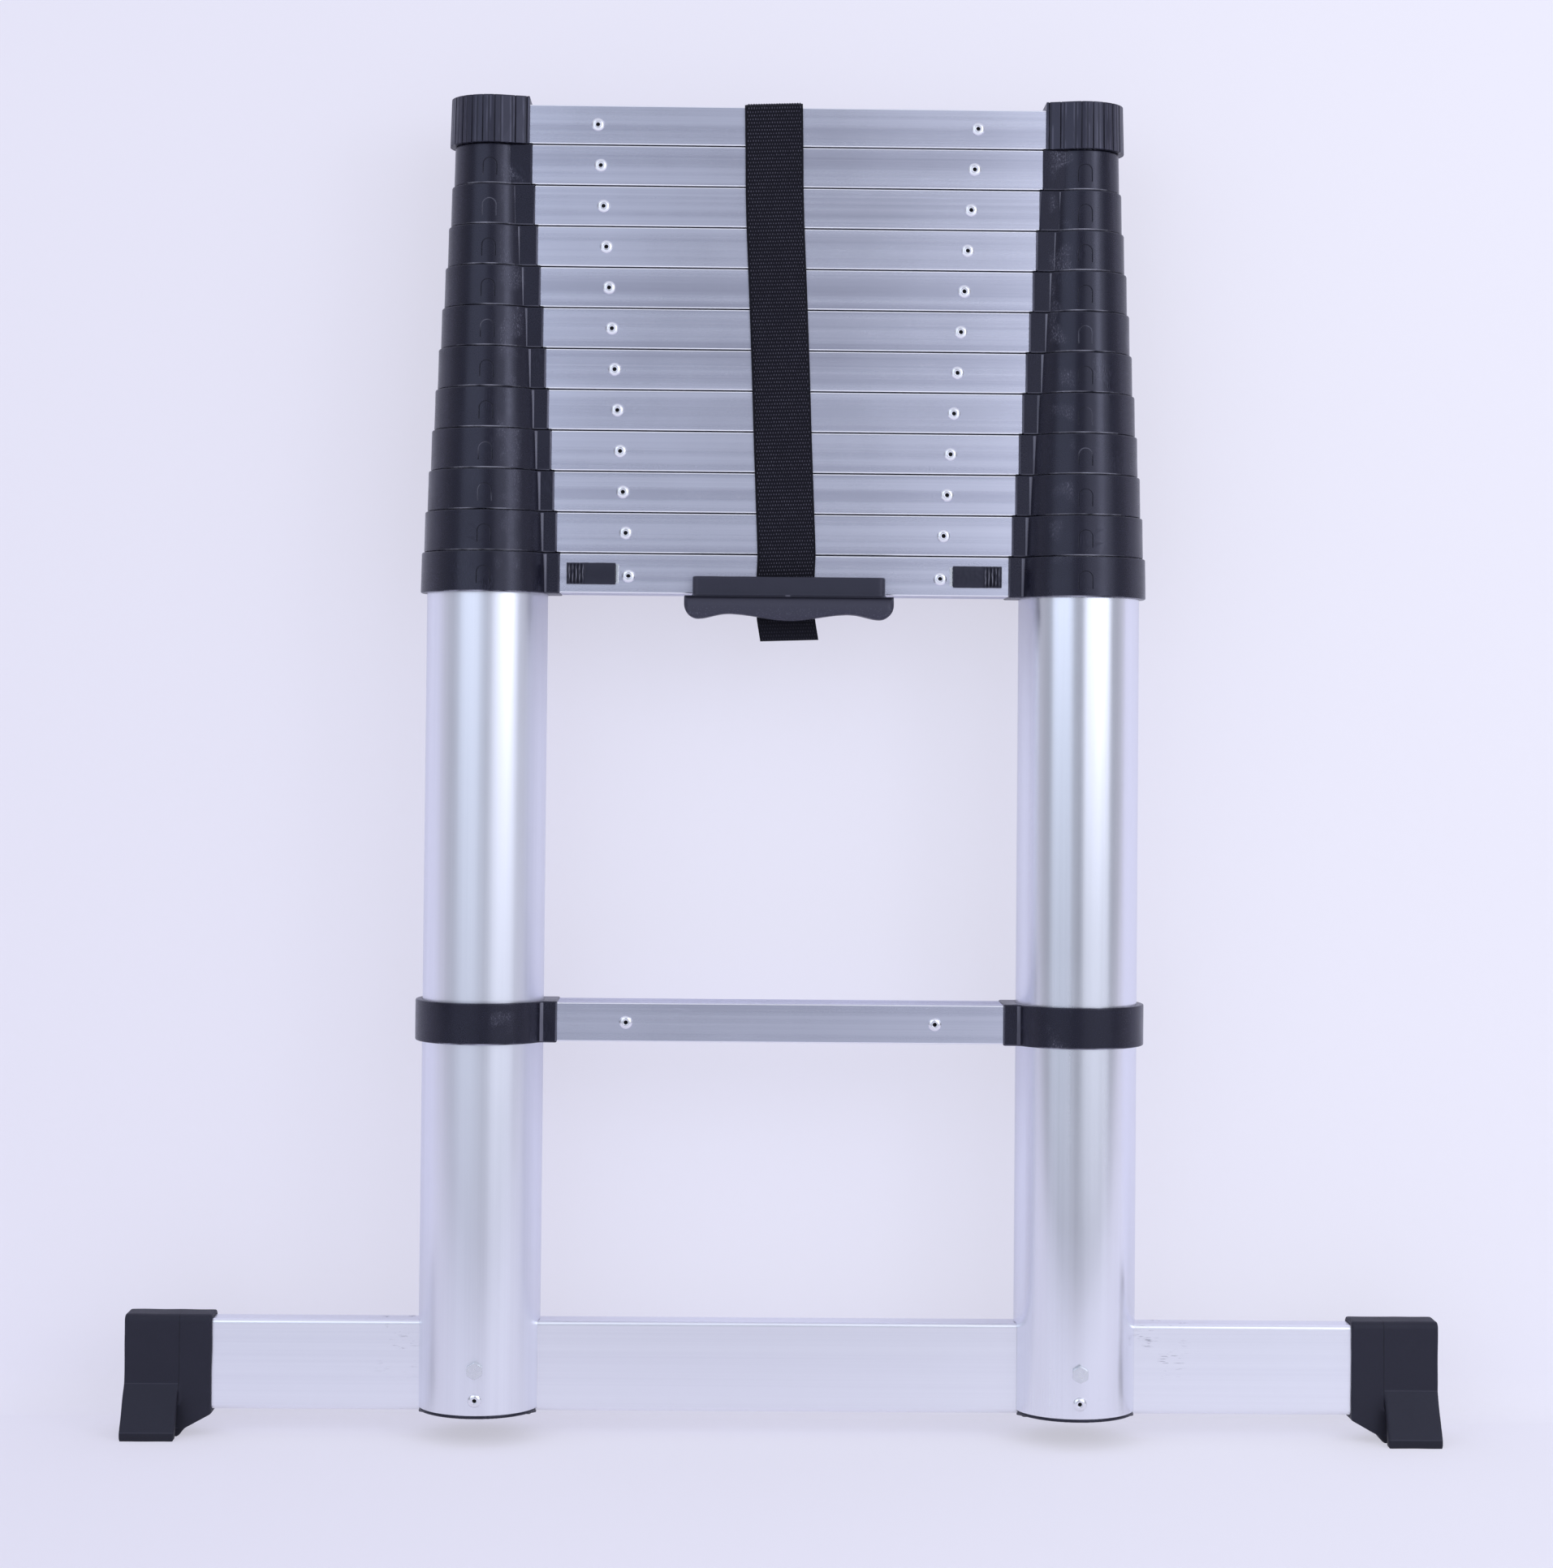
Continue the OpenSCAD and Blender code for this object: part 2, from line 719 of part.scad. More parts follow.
module base_fasteners() {
    color("silver") at_stiles() {
        translate([0, 0, base_rung_z]) rung_rivet(block_end(0));
        translate([0, 0, mid_rung_z]) rung_rivet(clamp_reach());
        translate([0, -base_tube_r, tube_foot_z + plug_rivet_z]) rivet();
        translate([0, 0, bolt_z]) bar_bolt();
    }
}

// ---- Stabiliser ----

module stabiliser_bar() {
    color("lightsteelblue") difference() {
        translate([bar_shift - bar_length / 2, 0, bar_z]) along_x(bar_length) difference() {
            rounded_rect(bar_depth, bar_height, bar_round);
            rounded_rect(bar_depth - 2 * bar_wall, bar_height - 2 * bar_wall, bar_round / 2);
        }
        at_stiles()
            translate([0, -bar_depth, bolt_z]) rod_y(bolt_d / 2 + pin_play, 2 * bar_depth);
    }
}

// A plug under each base tube: a rim, a lug on either side of the bar and a saddle under it.
module tube_plugs() {
    saddle_half = bar_depth / 2 + bar_play + plug_saddle;
    color("darkslategray") at_stiles() difference() {
        union() {
            translate([0, 0, tube_foot_z - plug_rim]) cylinder(r = base_tube_r, h = plug_rim);
            translate([0, 0, tube_foot_z - eps]) cylinder(r = base_tube_r - tube_wall, h = plug_height);
            intersection() {
                translate([0, 0, bar_low - plug_saddle])
                    cylinder(r = base_tube_r, h = bar_drop + plug_saddle);
                translate([-base_tube_r, -saddle_half, 0])
                    cube([base_tube_d, 2 * saddle_half, tube_foot_z]);
            }
        }
        bar_slot();
        translate([0, -base_tube_r, tube_foot_z + plug_rivet_z]) rod_y(rivet_r, rivet_grip);
    }
}

// One rubber foot at the bar's -X end.
module foot() {
    outer_x = -overall_length / 2;
    upright = bar_depth / 2 + foot_wall;
    sleeve_low = bar_low - foot_wall;
    difference() {
        union() {
            translate([outer_x, 0, bar_z])
                along_x(foot_length) rounded_rect(bar_depth + 2 * foot_wall, bar_height + 2 * foot_wall,
                    bar_round + foot_wall / 2);
            // The heel under the bar, sloped up where it leaves the flared part
            translate([outer_x, -upright, 0])
                along_y(2 * upright)
                    polygon([[0, bar_z], [0, 0], [skirt_length, 0],
                        [skirt_length + sole_edge * 0.8, sole_edge],
                        [foot_length, sleeve_low], [foot_length, bar_z]]);
            for (y = [-1, 1])
                translate([outer_x, 0, 0]) along_x(skirt_length) foot_flare(y);
        }
        translate([outer_x + foot_wall, 0, bar_z])
            along_x(foot_length) rounded_rect(bar_depth, bar_height, bar_round);
        sole_grooves(outer_x);
    }
}

// Half of the flare's section, on the side y of the bar.
module foot_flare(y) {
    upright = bar_depth / 2 + foot_wall;
    toe = sole_reach - flare_wall;
    polygon([[y * (upright - eps), flare_z], [y * sole_reach, sole_edge], [y * sole_reach, 0],
        [y * toe, 0], [y * toe, sole_edge * 0.8], [y * (upright - eps), flare_z - flare_wall * 1.2]]);
}

module sole_grooves(outer_x) {
    toe = sole_reach - flare_wall / 2;
    for (y = [-toe, -toe * 0.25, 0, toe * 0.25, toe])
        translate([outer_x - eps, y - sole_groove / 2, -eps])
            cube([skirt_length + 2 * eps, sole_groove, sole_groove_depth + eps]);
}

module feet() {
    color("darkslategray") translate([bar_shift, 0, 0])
        for (side = [0, 1])
            mirror([side, 0, 0]) foot();
}

// ---- Strap and handle ----

// The strap's closed loop round the stack, and its loose tail under the handle.
module strap() {
    loop_y = rung_depth / 2 + strap_play;
    height = strap_high - strap_low;
    r = 2;
    color("black") translate([strap_shift, 0, (strap_low + strap_high) / 2])
        rotate([0, -strap_lean, 0]) translate([-strap_width / 2, 0, 0]) {
            along_x(strap_width) difference() {
                rounded_rect(2 * (loop_y + strap_thick), height + 2 * strap_thick, r + strap_thick);
                rounded_rect(2 * loop_y, height, r);
            }
            translate([0, -loop_y - strap_thick, -height / 2 - strap_tail])
                cube([strap_width, strap_thick, strap_tail + 2 * r]);
        }
}

// Height of the grip's waved lower edge: full at the middle, then a hollow and a bulge each side.
function grip_low(x) =
    let (hollow_x = grip_width * 0.29, bulge_x = grip_width * 0.44, t = abs(x),
        hollow_turn = 180 * t / hollow_x,
        bulge_turn = 180 * (t - hollow_x) / (bulge_x - hollow_x))
    t < hollow_x
        ? -grip_height + grip_wave * (1 - cos(hollow_turn)) / 2
        : -grip_height + grip_wave * (1 - 0.4 * (1 - cos(bulge_turn)));

// Front outline of the handle: a straight upper part over a waved grip with rounded lower corners.
module handle_outline(inset) {
    half = grip_width / 2 - inset;
    corner_z = grip_round - grip_height + grip_wave / 5;
    steps = 32;
    translate([-handle_width / 2 + inset, -inset - eps])
        square([handle_width - 2 * inset, handle_height + eps]);
    intersection() {
        polygon(concat([[-half, -inset], [half, -inset]],
            [for (i = [steps:-1:0]) let (x = (2 * i / steps - 1) * half) [x, grip_low(x) + inset]]));
        union() {
            for (x = [-1, 1])
                translate([x * (half - grip_round), corner_z]) circle(grip_round);
            translate([-half, corner_z]) square([2 * half, grip_height]);
            translate([grip_round - half, -grip_height])
                square([2 * (half - grip_round), 2 * grip_height]);
        }
    }
}

// Outline of the handle from above: a flat back on X, rounded upright edges in front.
module handle_plan(width, depth) {
    for (x = [-1, 1])
        translate([x * (width / 2 - handle_round), handle_round - depth]) circle(handle_round);
    translate([handle_round - width / 2, -depth]) square([width - 2 * handle_round, depth]);
    translate([-width / 2, handle_round - depth]) square([width, depth - handle_round]);
}

// Side outline of the handle, its flat back on Z: the grip bulges to the front.
module handle_side() {
    r = 4;
    translate([-handle_depth, -eps]) square([handle_depth, handle_height + eps]);
    translate([-grip_depth + r, -through / 2]) square([grip_depth - r, through / 2]);
    translate([-grip_depth, -through / 2]) square([grip_depth, through / 2 - r]);
    translate([-grip_depth + r, -r]) circle(r);
}

module handle() {
    back = -rung_depth / 2 - strap_play - strap_thick - button_play;
    keeper_half = strap_width / 2 + 3 * strap_play;
    color("darkslategray") translate([handle_shift, back, handle_low]) {
        difference() {
            intersection() {
                translate([0, -through / 2, 0]) along_y(through / 2) handle_outline(0);
                translate([-through / 2, 0, 0]) along_x(through) handle_side();
                union() {
                    linear_extrude(handle_height) handle_plan(handle_width, handle_depth);
                    translate([0, 0, -grip_height])
                        linear_extrude(grip_height) handle_plan(grip_width, grip_depth);
                }
            }
            // The hollow back, with two stiffening ribs left in it beside the strap
            translate([0, handle_wall - handle_depth, 0]) along_y(handle_depth) difference() {
                handle_outline(handle_wall);
                for (x = [-1, 1])
                    translate([x * (keeper_half + handle_wall / 2) - handle_wall / 2, -through / 2])
                        square([handle_wall, through]);
            }
            // The strap's slots through the top and the bottom of the shell
            translate([-keeper_half, -2 * strap_thick, -through / 2])
                cube([2 * keeper_half, through, through]);
        }
        strap_keeper(keeper_half);
    }
}

// The bar behind the strap, held by the handle's two ribs below the base rung.
module strap_keeper(half) {
    low = -grip_height + grip_wave + handle_wall / 2;
    gap = strap_thick + 2 * button_play;
    translate([-half - handle_wall, 0, low]) {
        translate([0, gap, 0])
            cube([2 * (half + handle_wall), keeper_thick, keeper_height]);
        for (x = [0, 2 * half + handle_wall])
            translate([x, -handle_wall, 0])
                cube([handle_wall, handle_wall + gap + keeper_thick, keeper_height]);
    }
}

// ---- Nodes ----

base_tubes();
base_collars();
base_rung();
mid_rung();
mid_clamps();
base_fasteners();
stabiliser_bar();
feet();
tube_plugs();
lock_springs();
button_left();
button_right();
pin_left();
pin_right();
strap();
handle();
for (level = levels) {
    section_tubes(level);
    section_collars(level);
    section_rung(level);
    section_pins_rivets(level);
}
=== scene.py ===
import math
import bpy
import bmesh
from mathutils import Matrix, Vector, noise


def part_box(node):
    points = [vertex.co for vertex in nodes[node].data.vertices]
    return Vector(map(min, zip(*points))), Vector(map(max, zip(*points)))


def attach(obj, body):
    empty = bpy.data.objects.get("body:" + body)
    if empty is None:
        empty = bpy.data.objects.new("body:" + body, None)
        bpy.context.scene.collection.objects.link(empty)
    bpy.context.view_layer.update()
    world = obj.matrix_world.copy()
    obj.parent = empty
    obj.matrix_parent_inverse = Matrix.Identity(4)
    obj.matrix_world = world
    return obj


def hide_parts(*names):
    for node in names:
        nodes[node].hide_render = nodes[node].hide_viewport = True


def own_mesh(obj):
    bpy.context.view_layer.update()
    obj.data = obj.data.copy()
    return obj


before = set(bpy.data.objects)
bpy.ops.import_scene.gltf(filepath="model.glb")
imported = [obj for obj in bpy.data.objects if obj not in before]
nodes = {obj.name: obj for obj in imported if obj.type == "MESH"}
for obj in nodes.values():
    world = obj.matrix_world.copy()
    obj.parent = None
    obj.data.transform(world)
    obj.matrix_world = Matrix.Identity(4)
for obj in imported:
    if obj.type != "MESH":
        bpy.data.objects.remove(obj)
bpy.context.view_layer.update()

scene = bpy.context.scene
stile = 0.2  # from the ladder's middle to the middle of each tube, in metres
print("frame loaded:", len(nodes), "CAD nodes")


def tone(*shown):  # a colour as a screen shows it, 0 to 255, made linear
    shares = [v / 255 for v in shown]
    return (*(v / 12.92 if v <= 0.04045 else ((v + 0.055) / 1.055) ** 2.4 for v in shares), 1.0)


def added(name, data):  # an object for this data, in the scene
    made = bpy.data.objects.new(name, data)
    scene.collection.objects.link(made)
    return made


camera = {
    "place": (-0.0391, -2.2323, 0.4710),
    "pitch": 1.492,  # degrees above the horizon
    "roll": 0.514,
    "yaw": 0.888,
    "sensor": 36, "lens": 75.76,  # in millimetres
    "rise": -0.0859,  # vertical shift, in frame heights
}


def addCamera(values):
    pitch, roll, yaw = (math.radians(values[k]) for k in ("pitch", "roll", "yaw"))
    level = Vector((math.sin(yaw), math.cos(yaw), 0))
    ahead = level * math.cos(pitch) + Vector((0, 0, math.sin(pitch)))
    right = Vector((math.cos(yaw), -math.sin(yaw), 0))
    up = right.cross(ahead)
    right, up = (right * math.cos(roll) + up * math.sin(roll),
                 up * math.cos(roll) - right * math.sin(roll))
    lens = bpy.data.cameras.new("camera")
    lens.sensor_width = values["sensor"]
    lens.lens = values["lens"]
    lens.shift_y = values["rise"]
    turn = Matrix((right, up, -ahead)).transposed().to_4x4()
    scene.camera = added("camera", lens)
    scene.camera.matrix_world = Matrix.Translation(values["place"]) @ turn


addCamera(camera)
scene.view_settings.view_transform = "Standard"
print("camera set")


def newNode(tree, kind, settings=None, sockets=None, out=0):  # gives one output of it, as a wire
    made = tree.nodes.new(kind)
    for key, value in (settings or {}).items():
        if key == "stops":
            ramp = made.color_ramp
            for i, (at, colour) in enumerate(value):
                stop = ramp.elements[i] if i < 2 else ramp.elements.new(at)
                stop.position, stop.color = at, colour
        else:
            setattr(made, key, value)
    for key, value in (sockets or {}).items():
        if isinstance(value, Wire):
            tree.links.new(value.socket, made.inputs[key])
        else:
            made.inputs[key].default_value = value
    return Wire(tree, made.outputs[out])


class Wire:  # an output of a node, on which Python's operators add Math nodes
    def __init__(self, tree, socket):
        self.tree, self.socket = tree, socket

    def node(self, *given, **more):
        return newNode(self.tree, *given, **more)

    def maths(self, operation, other=0.0):
        return self.node("ShaderNodeMath", {"operation": operation}, {0: self, 1: other})

    def __add__(self, other):
        return self.maths("ADD", other)

    __radd__ = __add__

    def __sub__(self, other):
        return self.maths("SUBTRACT", other)

    def __rsub__(self, other):
        return self.node("ShaderNodeMath", {"operation": "SUBTRACT"}, {0: other, 1: self})

    def __mul__(self, other):
        return self.maths("MULTIPLY", other)

    __rmul__ = __mul__

    def __truediv__(self, other):
        return self.maths("DIVIDE", other)

    def beside(self, out):  # another output of the same node
        return Wire(self.tree, self.socket.node.outputs[out])

    def above(self, low, high):  # 0 at low, 1 at high, smooth between
        return self.node("ShaderNodeMapRange", {"interpolation_type": "SMOOTHSTEP"},
                         {"Value": self, "From Min": low, "From Max": high})

    def stretched(self, scale, turn=(0, 0, 0)):
        return self.node("ShaderNodeMapping", None, {"Vector": self, "Scale": scale, "Rotation": turn})

    def marked(self, name):  # a mesh attribute's value
        return self.node("ShaderNodeAttribute", {"attribute_name": name}, out=2)

    def noise(self, scale, detail=2.0, rough=0.5):
        return self.node("ShaderNodeTexNoise", None,
                         {"Vector": self, "Scale": scale, "Detail": detail, "Roughness": rough})

    def mixed(self, first, second):  # self is the share of the second colour
        return self.node("ShaderNodeMix", {"data_type": "RGBA"}, {0: self, 6: first, 7: second}, out=2)

    def bumped(self, strength, distance, soft=None):
        sockets = {"Strength": strength, "Distance": distance, "Height": self}
        if soft is not None:
            sockets["Normal"] = soft
        return self.node("ShaderNodeBump", None, sockets)


def newMaterial(name, constants):  # gives it, its object coordinates, and what joins a wire to its shader
    made = bpy.data.materials.new(name)
    made.use_nodes = True
    tree = made.node_tree
    shader = next(n for n in tree.nodes if n.type == "BSDF_PRINCIPLED")
    for key, value in constants.items():
        shader.inputs[key].default_value = value
    place = newNode(tree, "ShaderNodeTexCoord", out="Object")

    def join(key, wire):
        tree.links.new(wire.socket, shader.inputs[key])
    return made, place, join


def split(place):
    x = place.node("ShaderNodeSeparateXYZ", None, {0: place})
    return x, x.beside(1), x.beside(2)


def size(wire):  # without its sign
    return wire.maths("ABSOLUTE")


def band(wire, middle, half):  # 1 on a thin line, 0 away from it
    return 1.0 - size(wire - middle).above(half * 0.4, half)


def softEdge(place, radius):
    return place.node("ShaderNodeBevel", {"samples": 6}, {"Radius": radius})


# Aluminium, with the fine lines of its extrusion. "wear" is how many scratched patches a metre has
metal = {
    "tube": {"colour": (0.89, 0.90, 0.95, 1), "dull": (0.84, 0.85, 0.90, 1), "rough": 0.24,
             "along": "z", "wear": 14, "edge": 0.0005},
    "rung": {"colour": (0.78, 0.79, 0.90, 1), "dull": (0.62, 0.63, 0.75, 1), "rough": 0.27,
             "along": "x", "wear": 22, "edge": 0.0005},
    "bar": {"colour": (0.96, 0.965, 1.0, 1), "dull": (0.89, 0.895, 0.94, 1), "rough": 0.33,
            "along": "x", "wear": 12, "edge": 0.0006},
    "line": 0.00004,  # depth of the extrusion lines, in metres
    "leftDull": 0.09,  # the left tubes are the duller ones
    "rim": (0.98, 0.98, 1.0, 1),  # painted highlight: a rung's long rims are painted brighter
    "rub": (0.25, 0.25, 0.30, 1),
}


def rubbed(place):  # dark hair lines that the tubes' sharp slots leave on the bar
    x, y, z = split(place)
    beside = band(size(x - 0.002), stile + 0.0555, 0.022) * z.above(0.035, 0.060)
    hair = place.stretched((120, 120, 1500), (0.0, 0.15, 0.0)).noise(1.0, 2.0, 0.6)
    return beside * place.noise(60, 2.0, 0.5).above(0.48, 0.60) * hair.above(0.60, 0.66)


def extruded(kind):
    values = metal[kind]
    made, place, join = newMaterial(kind + "Aluminium", {"Metallic": 1.0})
    across = (2.0, 900, 900) if values["along"] == "x" else (900, 900, 4.0)
    broad = (0.6, 130, 130) if values["along"] == "x" else (160, 160, 0.8)
    lines = place.stretched(across).noise(1.0, 3.0, 0.6)
    bands = place.stretched(broad).noise(1.0, 2.0, 0.5)
    grain = place.noise(2600, 2.0, 0.6)
    cloud = place.noise(9, 3.0, 0.55)
    dirt = (lines * 0.35 + bands * 0.65).above(0.25, 0.75)
    colour = dirt.mixed(values["dull"], values["colour"])
    rough = bands * 0.10 + grain * 0.08 + cloud * 0.10 + (values["rough"] - 0.14)
    if kind == "bar":
        colour = (rubbed(place) * 0.6).mixed(colour, metal["rub"])
    elif kind == "rung":
        # the long rims are painted brighter, a painted highlight
        colour = place.marked("rim").mixed(colour, metal["rim"])
    else:
        rough = rough + (1.0 - split(place)[0].above(-0.05, 0.05)) * metal["leftDull"]
    join("Base Color", colour)
    join("Roughness", rough)
    # A few thin scratches, each where a stretched noise peaks inside a worn patch
    worn = place.noise(values["wear"], 2.0, 0.5).above(0.58, 0.72)
    cut = place.stretched((70, 70, 1100), (0.3, 0.5, 0.2)).noise(1.0, 0.0, 0.5).above(0.70, 0.74)
    height = lines * 0.5 + grain * 0.25 - cut * worn * 0.8
    join("Normal", height.bumped(0.35, metal["line"], softEdge(place, values["edge"])))
    return made


tubeMetal, rungMetal, barMetal = (extruded(kind) for kind in ("tube", "rung", "bar"))

steel = {"colour": (0.80, 0.82, 0.84, 1), "dull": (0.76, 0.78, 0.81, 1), "rough": 0.20, "edge": 0.0009}


def steelMaterial(values):
    made, place, join = newMaterial("brightSteel", {"Metallic": 1.0})
    spots = place.noise(420, 2.0, 0.5)
    join("Base Color", spots.above(0.3, 0.6).mixed(values["dull"], values["colour"]))
    join("Roughness", spots * 0.12 + values["rough"])
    join("Normal", place.noise(700, 1.0).bumped(0.08, 0.00002, softEdge(place, values["edge"])))
    return made


steelShade = steelMaterial(steel)
print("metals ready")

# Moulded plastic and rubber: two colours for the new and the worn skin, the grain's fineness and depth
plastic = {
    "collar": {"colour": (0.0052, 0.0052, 0.0115, 1), "worn": (0.022, 0.022, 0.036, 1), "rough": 0.22,
               "grain": 1500, "depth": 0.00003, "edge": 0.0005, "scuffs": 1.0},
    "cap": {"colour": (0.0150, 0.0152, 0.0270, 1), "worn": (0.040, 0.040, 0.058, 1), "rough": 0.30,
            "grain": 1500, "depth": 0.00003, "edge": 0.0006, "scuffs": 0.6},
    "button": {"colour": (0.0085, 0.0088, 0.0160, 1), "worn": (0.024, 0.024, 0.036, 1), "rough": 0.33,
               "grain": 1200, "depth": 0.00005, "edge": 0.0003, "scuffs": 0.3},
    "handle": {"colour": (0.0150, 0.0152, 0.0250, 1), "worn": (0.036, 0.036, 0.052, 1), "rough": 0.42,
               "grain": 1900, "depth": 0.00009, "edge": 0.0004, "scuffs": 0.2},
    "rubber": {"colour": (0.0078, 0.0080, 0.0135, 1), "worn": (0.018, 0.018, 0.028, 1), "rough": 0.55,
               "grain": 700, "depth": 0.00006, "edge": 0.0004, "scuffs": 0.25},
}


# The arched line of the snap on the front of each collar in the stack: a half round on two straight legs,
# painted dark as shade in its groove, and pale as a highlight where a noise is high
snap = {
    "pitch": 0.0275,  # from one collar to the next
    "centre": 0.0127,  # the arch's middle, above the collar's foot
    "radius": 0.00457, "legs": 0.0072, "line": 0.0004,
    "dark": (0.0005, 0.0005, 0.001, 1), "pale": (0.26, 0.26, 0.32, 1),
}


def snapLines(place):
    x, y, z = split(place)
    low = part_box("base_collars")[0].z
    rise = (z - low).maths("FLOORED_MODULO", snap["pitch"]) - snap["centre"]
    across, over = size(x) - stile, rise.maths("MAXIMUM", 0.0)
    line = band((across * across + over * over).maths("SQRT"), snap["radius"], snap["line"])
    legs = rise.above(-snap["legs"] - 0.0002, -snap["legs"])
    return line * legs * z.above(low, low + 0.0001) * (1.0 - y.above(-0.01, 0.0))


scuffs = {
    "at": 0.1845, "half": 0.010,  # from the ladder's middle, and half their width
    # soft is a painted sheen; hard is for the scratches, painted pale as highlights where the light falls on
    # them
    "soft": (0.030, 0.030, 0.044, 1), "hard": (0.15, 0.15, 0.19, 1),
    # rim is the painted glint on the lower rims and in the hollows
    "rim": (0.34, 0.34, 0.40, 1),
}


def collarMarks(place, colour, height):  # painted glints on the lower rims, a painted sheen on the side towards the rungs with its scratches painted pale as highlights, and the snap line's painted shade and highlight
    x, y, z = split(place)
    aside = band(size(x), scuffs["at"], scuffs["half"])
    patch = place.noise(48, 1.0, 0.5).above(0.50, 0.64)
    hairs = place.stretched((1500, 1500, 700), (0.0, 0.9, 0.0)).noise(1.0, 2.0, 0.6).above(0.52, 0.70)
    scuff = aside * patch * hairs * (1.0 - y.above(-0.02, 0.0))
    # a painted sheen on the side towards the rungs, and its scratches painted pale as highlights
    colour = (aside * patch * 0.55).mixed(colour, scuffs["soft"])
    colour = (scuff * 0.75).mixed(colour, scuffs["hard"])
    # the snap line: painted shade in its groove, and a painted highlight where the noise is high
    pale = place.noise(26, 0.0).above(0.55, 0.62)
    line = snapLines(place) * (pale * 0.1 + 0.5)
    colour = line.mixed(colour, pale.mixed(snap["dark"], snap["pale"]))
    # the lower rims and the hollows take a painted glint
    return place.marked("wear").mixed(colour, scuffs["rim"]), height + scuff * 5.0


fingerRib = {
    "half": 0.004,  # half the ribs' pitch, measured along the cap's wall
    "line": 0.0035, "ridge": 0.0028,  # where the line starts and where the ridge is, from a rib's middle
    # dark is painted shade in the fine lines; pale is on the ridges, partly wear and partly painted highlight
    "dark": (0.003, 0.003, 0.006, 1), "pale": (0.11, 0.11, 0.15, 1),
}


def capMarks(place, colour, height):  # a fine line down each finger rib painted dark as shade in its groove, and ridges beside it painted pale, partly as wear and partly as a painted highlight
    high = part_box("section_11_collars")[1]
    x, y, z = split(place)
    turn = size(y).maths("ARCTAN2", size(x) - stile)
    along = (turn * (high.x - stile)).maths("PINGPONG", fingerRib["half"])
    wall = 1.0 - z.above(high.z - 0.0012, high.z - 0.0006)
    line = along.above(fingerRib["line"], fingerRib["line"] + 0.0003) * wall
    streak = place.stretched((300, 300, 40)).noise(1.0, 2.0, 0.6).above(0.40, 0.62)
    ridge = band(along, fingerRib["ridge"], 0.0007) * streak * wall
    colour = (line * 0.8).mixed(colour, fingerRib["dark"])
    colour = (ridge * 0.45).mixed(colour, fingerRib["pale"])
    return colour, height - line * 6.0 + ridge * 2.0


# pale: the painted highlight on the ribs' tops
buttonTop = {"deep": 0.0009, "pale": (0.28, 0.28, 0.33, 1)}


def buttonMarks(place, colour, height):  # the ribs' tops are painted pale as highlights
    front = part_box("button_left")[0].y
    x, y, z = split(place)
    top = 1.0 - y.above(front - buttonTop["deep"], front - buttonTop["deep"] + 0.0005)
    edge = place.stretched((1500, 1, 160)).noise(1.0, 1.0).above(0.42, 0.60)
    return (top * edge * 0.5).mixed(colour, buttonTop["pale"]), height


# The handle's grip hangs below its saddle, and the joint between them shows. The grip is painted lighter, and
# the saddle's ends pale, as painted light on their round faces
handleTone = {"joint": 0.0128, "grip": (0.037, 0.0365, 0.053, 1), "pale": (0.20, 0.20, 0.25, 1)}


def handleMarks(place, colour, height):  # a pale mark in the joint's middle, specks near the grip's foot, a painted highlight on the saddle's ends, and the grip painted lighter as painted light
    low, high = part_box("handle")
    x, y, z = split(place)
    middle, joint = (low.x + high.x) / 2, high.z - handleTone["joint"]
    speck = place.noise(1300, 0.0).above(0.66, 0.74) * (1.0 - z.above(low.z + 0.006, low.z + 0.012))
    mark = band(x, middle - 0.0008, 0.0022) * band(z, joint, 0.0008)
    # a painted highlight on the saddle's rounded ends
    ends = size(x - middle).above(0.0600, 0.0635) * z.above(joint - 0.0007, joint + 0.0003)
    # the grip below the joint is painted lighter, standing in for light on its round face
    grip = 1.0 - z.above(joint - 0.0022, joint - 0.0002)
    colour = (grip * 0.85).mixed(colour, handleTone["grip"])
    colour = (speck * 0.22 + mark * 0.6 + ends * 0.10).mixed(colour, handleTone["pale"])
    return colour, height + speck * 1.5


def moulded(name, values, marks=None):
    made, place, join = newMaterial(name, {"Specular IOR Level": 0.5, "Specular Tint": (0.82, 0.82, 1.0, 1)})
    grain = place.noise(values["grain"], 2.0, 0.6)
    cloud = place.noise(16, 3.0, 0.6)
    patch = place.noise(34, 2.0, 0.5).above(0.52, 0.70)
    brush = place.stretched((2400, 2400, 260), (0.2, 0.75, 0.1)).noise(1.0, 1.0, 0.5)
    scuff = patch * brush.above(0.45, 0.75) * values["scuffs"]
    colour = (cloud * 0.5 + scuff * 0.5).mixed(values["colour"], values["worn"])
    height = grain + scuff * 1.5
    if marks:
        colour, height = marks(place, colour, height)
    join("Base Color", colour)
    rough = values["rough"] + grain * 0.10 + cloud * 0.12
    join("Roughness", rough - patch * 0.08 * values["scuffs"] - 0.06)
    join("Normal", height.bumped(0.5, values["depth"], softEdge(place, values["edge"])))
    return made


# The feet's parting line, the crease where the flare starts, and the strip round the sole; the crease and the
# sole strip's top edge are painted pale as highlights
foot = {
    "shift": 0.004,  # of the bar and both feet, to the right
    "line": 0.0367,  # from a foot's outer end
    "crease": 0.0350, "sole": 0.0056,  # heights
    "dark": (0.001, 0.001, 0.002, 1), "pale": (0.034, 0.034, 0.046, 1),
}


